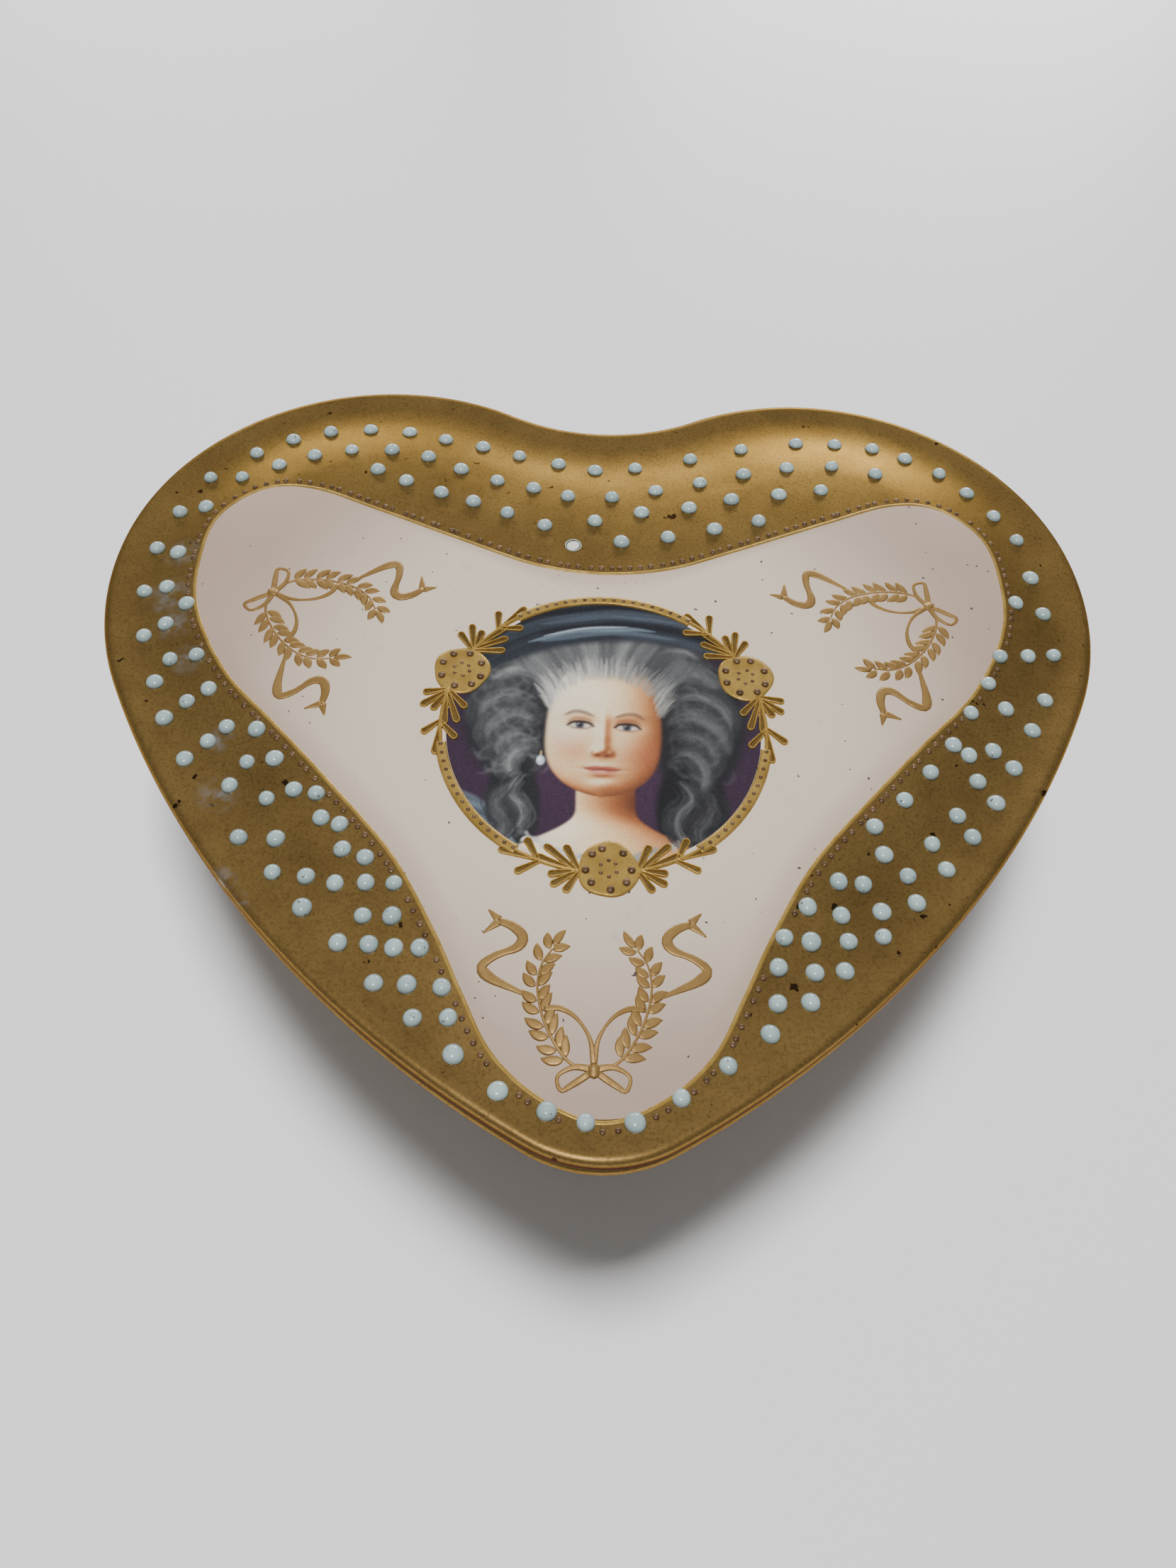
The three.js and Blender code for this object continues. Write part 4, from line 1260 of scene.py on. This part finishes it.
def paint_drape(picture):
    """The dark slate scarf wound over the top of the hair."""
    edge = 0.66 - 0.3 * picture.u**2 + 0.1 * picture.u
    picture.lay(ease(picture.v - edge, -0.02, 0.06), (36, 40, 48))
    draw = np.random.default_rng(17)
    for _ in range(60):
        lift = draw.uniform(0.0, 0.34)
        arc = [(u, v + lift) for u, v in SCARF_FOLD]
        start = draw.integers(0, 3)
        fold = 0.5 + 0.5 * math.sin(lift * 40)
        colour = lerp((20, 23, 29), (92, 106, 120), fold * draw.uniform(0.3, 1))
        picture.stroke(arc[start:start + 3], draw.uniform(0.016, 0.042), colour, 0.55)
    picture.stroke([(-0.5, 0.66), (-0.18, 0.765), (0.16, 0.79), (0.34, 0.775)], 0.04, (140, 160, 174), 0.6)
    picture.stroke([(-0.4, 0.715), (-0.12, 0.79), (0.16, 0.81)], 0.016, (196, 208, 216), 0.6)


def paint_dress(picture):
    """A pale frill at the neck and folds of slate cloth at the left shoulder."""
    draw = np.random.default_rng(29)
    for _ in range(70):
        t = draw.uniform(-1, 1)
        u = 0.02 + t * 0.5
        v = -0.985 + 0.17 * abs(t) ** 1.5 + draw.normal(0, 0.012)
        curl = draw.uniform(0.02, 0.05)
        grey = draw.uniform(170, 240) - 46 * (t > 0.3)
        frill = [(u - curl, v), (u, v + curl * 0.7), (u + curl, v - 0.004)]
        picture.stroke(frill, 0.022, (grey, grey, grey - 4), 0.75)
    for _ in range(26):
        t = draw.uniform(0, 1)
        start = (-0.92 + 0.22 * t, -0.46 - 0.3 * t)
        path = [start, (start[0] + 0.16, start[1] - 0.1), (start[0] + 0.26, start[1] - 0.26)]
        glow = draw.uniform(0, 1)
        picture.stroke(path, 0.035, lerp((44, 52, 62), (120, 134, 144), glow), 0.55)


def paint_earring(picture):
    u, v = tilted(-0.385, NOSE_BASE - 0.055)
    picture.stroke([(u + 0.004, v + 0.07), (u, v + 0.02)], 0.01, (206, 180, 120), 0.9)
    picture.dab((u, v), 0.026, 0.036, 0.25, (196, 206, 212), 1)
    picture.dab((u - 0.008, v + 0.01), 0.01, 0.012, 0.5, (255, 255, 255), 1)


def paint_portrait():
    """The whole picture, as an array of linear colours."""
    picture = Picture(PICTURE_SIZE, (58, 38, 58))
    draw = np.random.default_rng(2)
    picture.lay(ease(np.hypot(picture.u, picture.v), 0.4, 1.1) * 0.4, (40, 26, 42))
    paint_hair_mass(picture)
    paint_curls(picture)
    paint_combed_hair(picture)
    picture.soften(4)
    paint_neck(picture)
    paint_dress(picture)
    paint_hanging_locks(picture)
    paint_face(picture)
    for side in (-1, 1):
        paint_eye(picture, side)
    paint_nose_and_mouth(picture)
    picture.soften(1)
    paint_soft_hairline(picture)
    paint_drape(picture)
    paint_earring(picture)
    grain = draw.normal(0, 5, (PICTURE_SIZE, PICTURE_SIZE, 1))
    seen = np.clip((picture.colour + grain) / 255, 0, 1)
    return np.where(seen < 0.04045, seen / 12.92, ((seen + 0.055) / 1.055) ** 2.4)


def square_to_disc(count):
    """A square grid of places from -1 to 1, drawn in to a disc without bunching."""
    line = np.linspace(-1, 1, count)
    u, v = np.meshgrid(line, line)
    reach = np.maximum(np.abs(u), np.abs(v))
    scale = np.where(reach > 0, reach / np.maximum(np.hypot(u, v), 1e-9), 1)
    return np.column_stack([(u * scale).ravel(), (v * scale).ravel()])


def sample(picture, places):
    """The picture's colours at places from -1 to 1, blended from the nearest four."""
    at = (places + 1) / 2 * (len(picture) - 1)
    low = np.clip(at.astype(int), 0, len(picture) - 2)
    part = (at - low)[:, :, None]
    column, row = low.T
    under = picture[row, column] * (1 - part[:, 0]) + picture[row, column + 1] * part[:, 0]
    over = picture[row + 1, column] * (1 - part[:, 0]) + picture[row + 1, column + 1] * part[:, 0]
    return under * (1 - part[:, 1]) + over * part[:, 1]


DOT_PITCH = 0.214
PRINT_PITCH = 0.1
PRINT_LIFT = 0.03
PRINT_SKIRT = 0.1
PRINT_DEPTH = 0.3


def print_finish():
    """The glazed print, with the fine dots that its colours are screened in."""
    f = Finish("portrait_print", Roughness=0.28, Coat_Weight=0.3, Coat_Roughness=0.1)
    cells = f.nodes.new("ShaderNodeTexVoronoi")
    for socket, value in {"Vector": f.where, "Scale": 1 / (DOT_PITCH * MM), "Randomness": 0.15}.items():
        f.wire(cells.inputs[socket], value)
    dots = f.range(cells.outputs["Distance"], 0.25, 0.6, 0.0, 0.22)
    f.set("Base Color", f.mix(dots, f.attribute("paint", "Color"), (0.02, 0.016, 0.018)))
    return f.material


def portrait():
    """The round print: a fine disc on the lid with a painted colour at each point."""
    count = int(2 * PORTRAIT_RADIUS / PRINT_PITCH) + 1
    places = square_to_disc(count)
    plan = MEDALLION + PORTRAIT_RADIUS * places
    top = np.column_stack([plan, lid_height(plan) + PRINT_LIFT])
    line = np.arange(count)
    last = count * count - 1
    sides = [line, line[1:] * count + count - 1, last - line[1:], last + 1 - count - line[1:-1] * count]
    border = np.concatenate(sides)
    skirt = top[border] - [0, 0, PRINT_SKIRT]
    middle = [[*MEDALLION, lid_height(MEDALLION)[0] - PRINT_DEPTH]]
    first = count * count
    faces = grid_faces(count, count, close_columns=False)
    around = len(border)
    for i in range(around):
        j = (i + 1) % around
        faces.append([border[j], border[i], first + i, first + j])
        faces.append([first + i, first + around, first + j])
    points = np.vstack([top, skirt, middle])
    node = ["portrait_medallion"]
    piece = lid_piece("portrait_print", [(points, faces)], print_finish(), node, "transfer_print")
    colours = np.ones((len(points), 4), np.float32)
    colours[:first, :3] = sample(paint_portrait(), places)
    layer = piece.data.color_attributes.new("paint", "FLOAT_COLOR", "POINT")
    layer.data.foreach_set("color", colours.ravel())


# ---------------------------------------------------------------- the box

bead_places = bead_runs()
lid_shell()
base_shell()
gilt_border()
reserve_edging(bead_places)
enamel_beads(bead_places)
lost_bead()
for rosette_side in ROSETTE_ANGLES:
    rosette(rosette_side)
frame_arc("top", ROSETTE_ANGLES["right"], ROSETTE_ANGLES["left"])
frame_arc("left", ROSETTE_ANGLES["left"], ROSETTE_ANGLES["bottom"])
frame_arc("right", ROSETTE_ANGLES["bottom"], ROSETTE_ANGLES["right"] + 360)
for wreath_side in WREATHS:
    wreath(wreath_side)
portrait()

# ---------------------------------------------------------------- surroundings


TABLE_REACH = 2.0
TABLE_TONE = (0.85, 0.855, 0.87, 1)
LIGHT_AIM = (0, 0, 0.02)
COOL_WHITE = (0.97, 0.99, 1)
# Each light's place, size, power and colour, and whether it is for surfaces, reflections or all.
LIGHTS = {
    "overhead": ((-0.04, 0.16, 1.18), (0.28, 0.28), 20.5, (1, 0.995, 0.985), "surfaces"),
    "glint": ((-0.12, -0.45, 1.08), (0.24, 0.24), 5.0, (1, 1, 1), "reflections"),
    "ceiling": ((0.0, 0.45, 1.35), (1.3, 1.1), 0.85, (1, 1, 1), "all"),
    "back_left": ((-0.3, 0.98, 0.28), (0.4, 0.16), 1.7, COOL_WHITE, "reflections"),
    "back_right": ((0.26, 0.96, 0.29), (0.46, 0.18), 3.4, COOL_WHITE, "reflections"),
}
CAMERA_ELEVATION = math.radians(58.5)
CAMERA_YAW = math.radians(-2.9)
CAMERA_ROLL = math.radians(3.9)
CAMERA_DISTANCE = 0.1209
CAMERA_AIM = np.array([-0.0015, -0.0092, LID_EDGE * MM])
CAMERA_LENS = 27.03
WORLD_TONE = (0.95, 0.97, 1.0, 1)
WORLD_STRENGTH = 0.15


def floor():
    f = Finish("pale_table", Roughness=0.34, Base_Color=TABLE_TONE)
    f.bump(f.noise(1500, 2), 0.02, 0.4)
    r = TABLE_REACH
    mesh = bpy.data.meshes.new("floor")
    mesh.from_pydata([(-r, -r, 0), (r, -r, 0), (r, r, 0), (-r, r, 0)], [], [(0, 1, 2, 3)])
    mesh.materials.append(f.material)
    plane = bpy.data.objects.new("floor", mesh)
    bpy.context.scene.collection.objects.link(plane)


def area_light(name, place, size, power, colour, lights):
    """A soft light. It may light surfaces only, or only show in their reflections."""
    data = bpy.data.lights.new(name, "AREA")
    data.shape = "RECTANGLE"
    data.size, data.size_y = size
    data.energy = power
    data.color = colour
    light = bpy.data.objects.new(name, data)
    light.location = place
    light.rotation_euler = (Vector(LIGHT_AIM) - Vector(place)).to_track_quat("-Z", "Y").to_euler()
    light.visible_camera = False
    light.visible_glossy = lights != "surfaces"
    light.visible_diffuse = lights != "reflections"
    bpy.context.scene.collection.objects.link(light)


def camera():
    """The view: from in front of the tip, looking down at the lid, slightly turned and rolled."""
    level = math.cos(CAMERA_ELEVATION)
    back = np.array([math.sin(CAMERA_YAW) * level, -math.cos(CAMERA_YAW) * level, math.sin(CAMERA_ELEVATION)])
    right = np.cross([0, 0, 1], back)
    right /= np.linalg.norm(right)
    up = np.cross(back, right)
    cos, sin = facing(CAMERA_ROLL)
    turned_right = cos * right + sin * up
    turned_up = cos * up - sin * right
    data = bpy.data.cameras.new("camera")
    data.lens = CAMERA_LENS
    data.clip_start = 0.005
    view = bpy.data.objects.new("camera", data)
    place = CAMERA_AIM + CAMERA_DISTANCE * back
    columns = np.column_stack([turned_right, turned_up, back, place])
    view.matrix_world = Matrix([*columns.tolist(), [0, 0, 0, 1]])
    bpy.context.scene.collection.objects.link(view)
    bpy.context.scene.camera = view


def world():
    surroundings = bpy.data.worlds.new("studio")
    surroundings.use_nodes = True
    background = surroundings.node_tree.nodes["Background"]
    background.inputs["Color"].default_value = WORLD_TONE
    background.inputs["Strength"].default_value = WORLD_STRENGTH
    bpy.context.scene.world = surroundings


floor()
for light_name, settings in LIGHTS.items():
    area_light(light_name, *settings)
camera()
world()
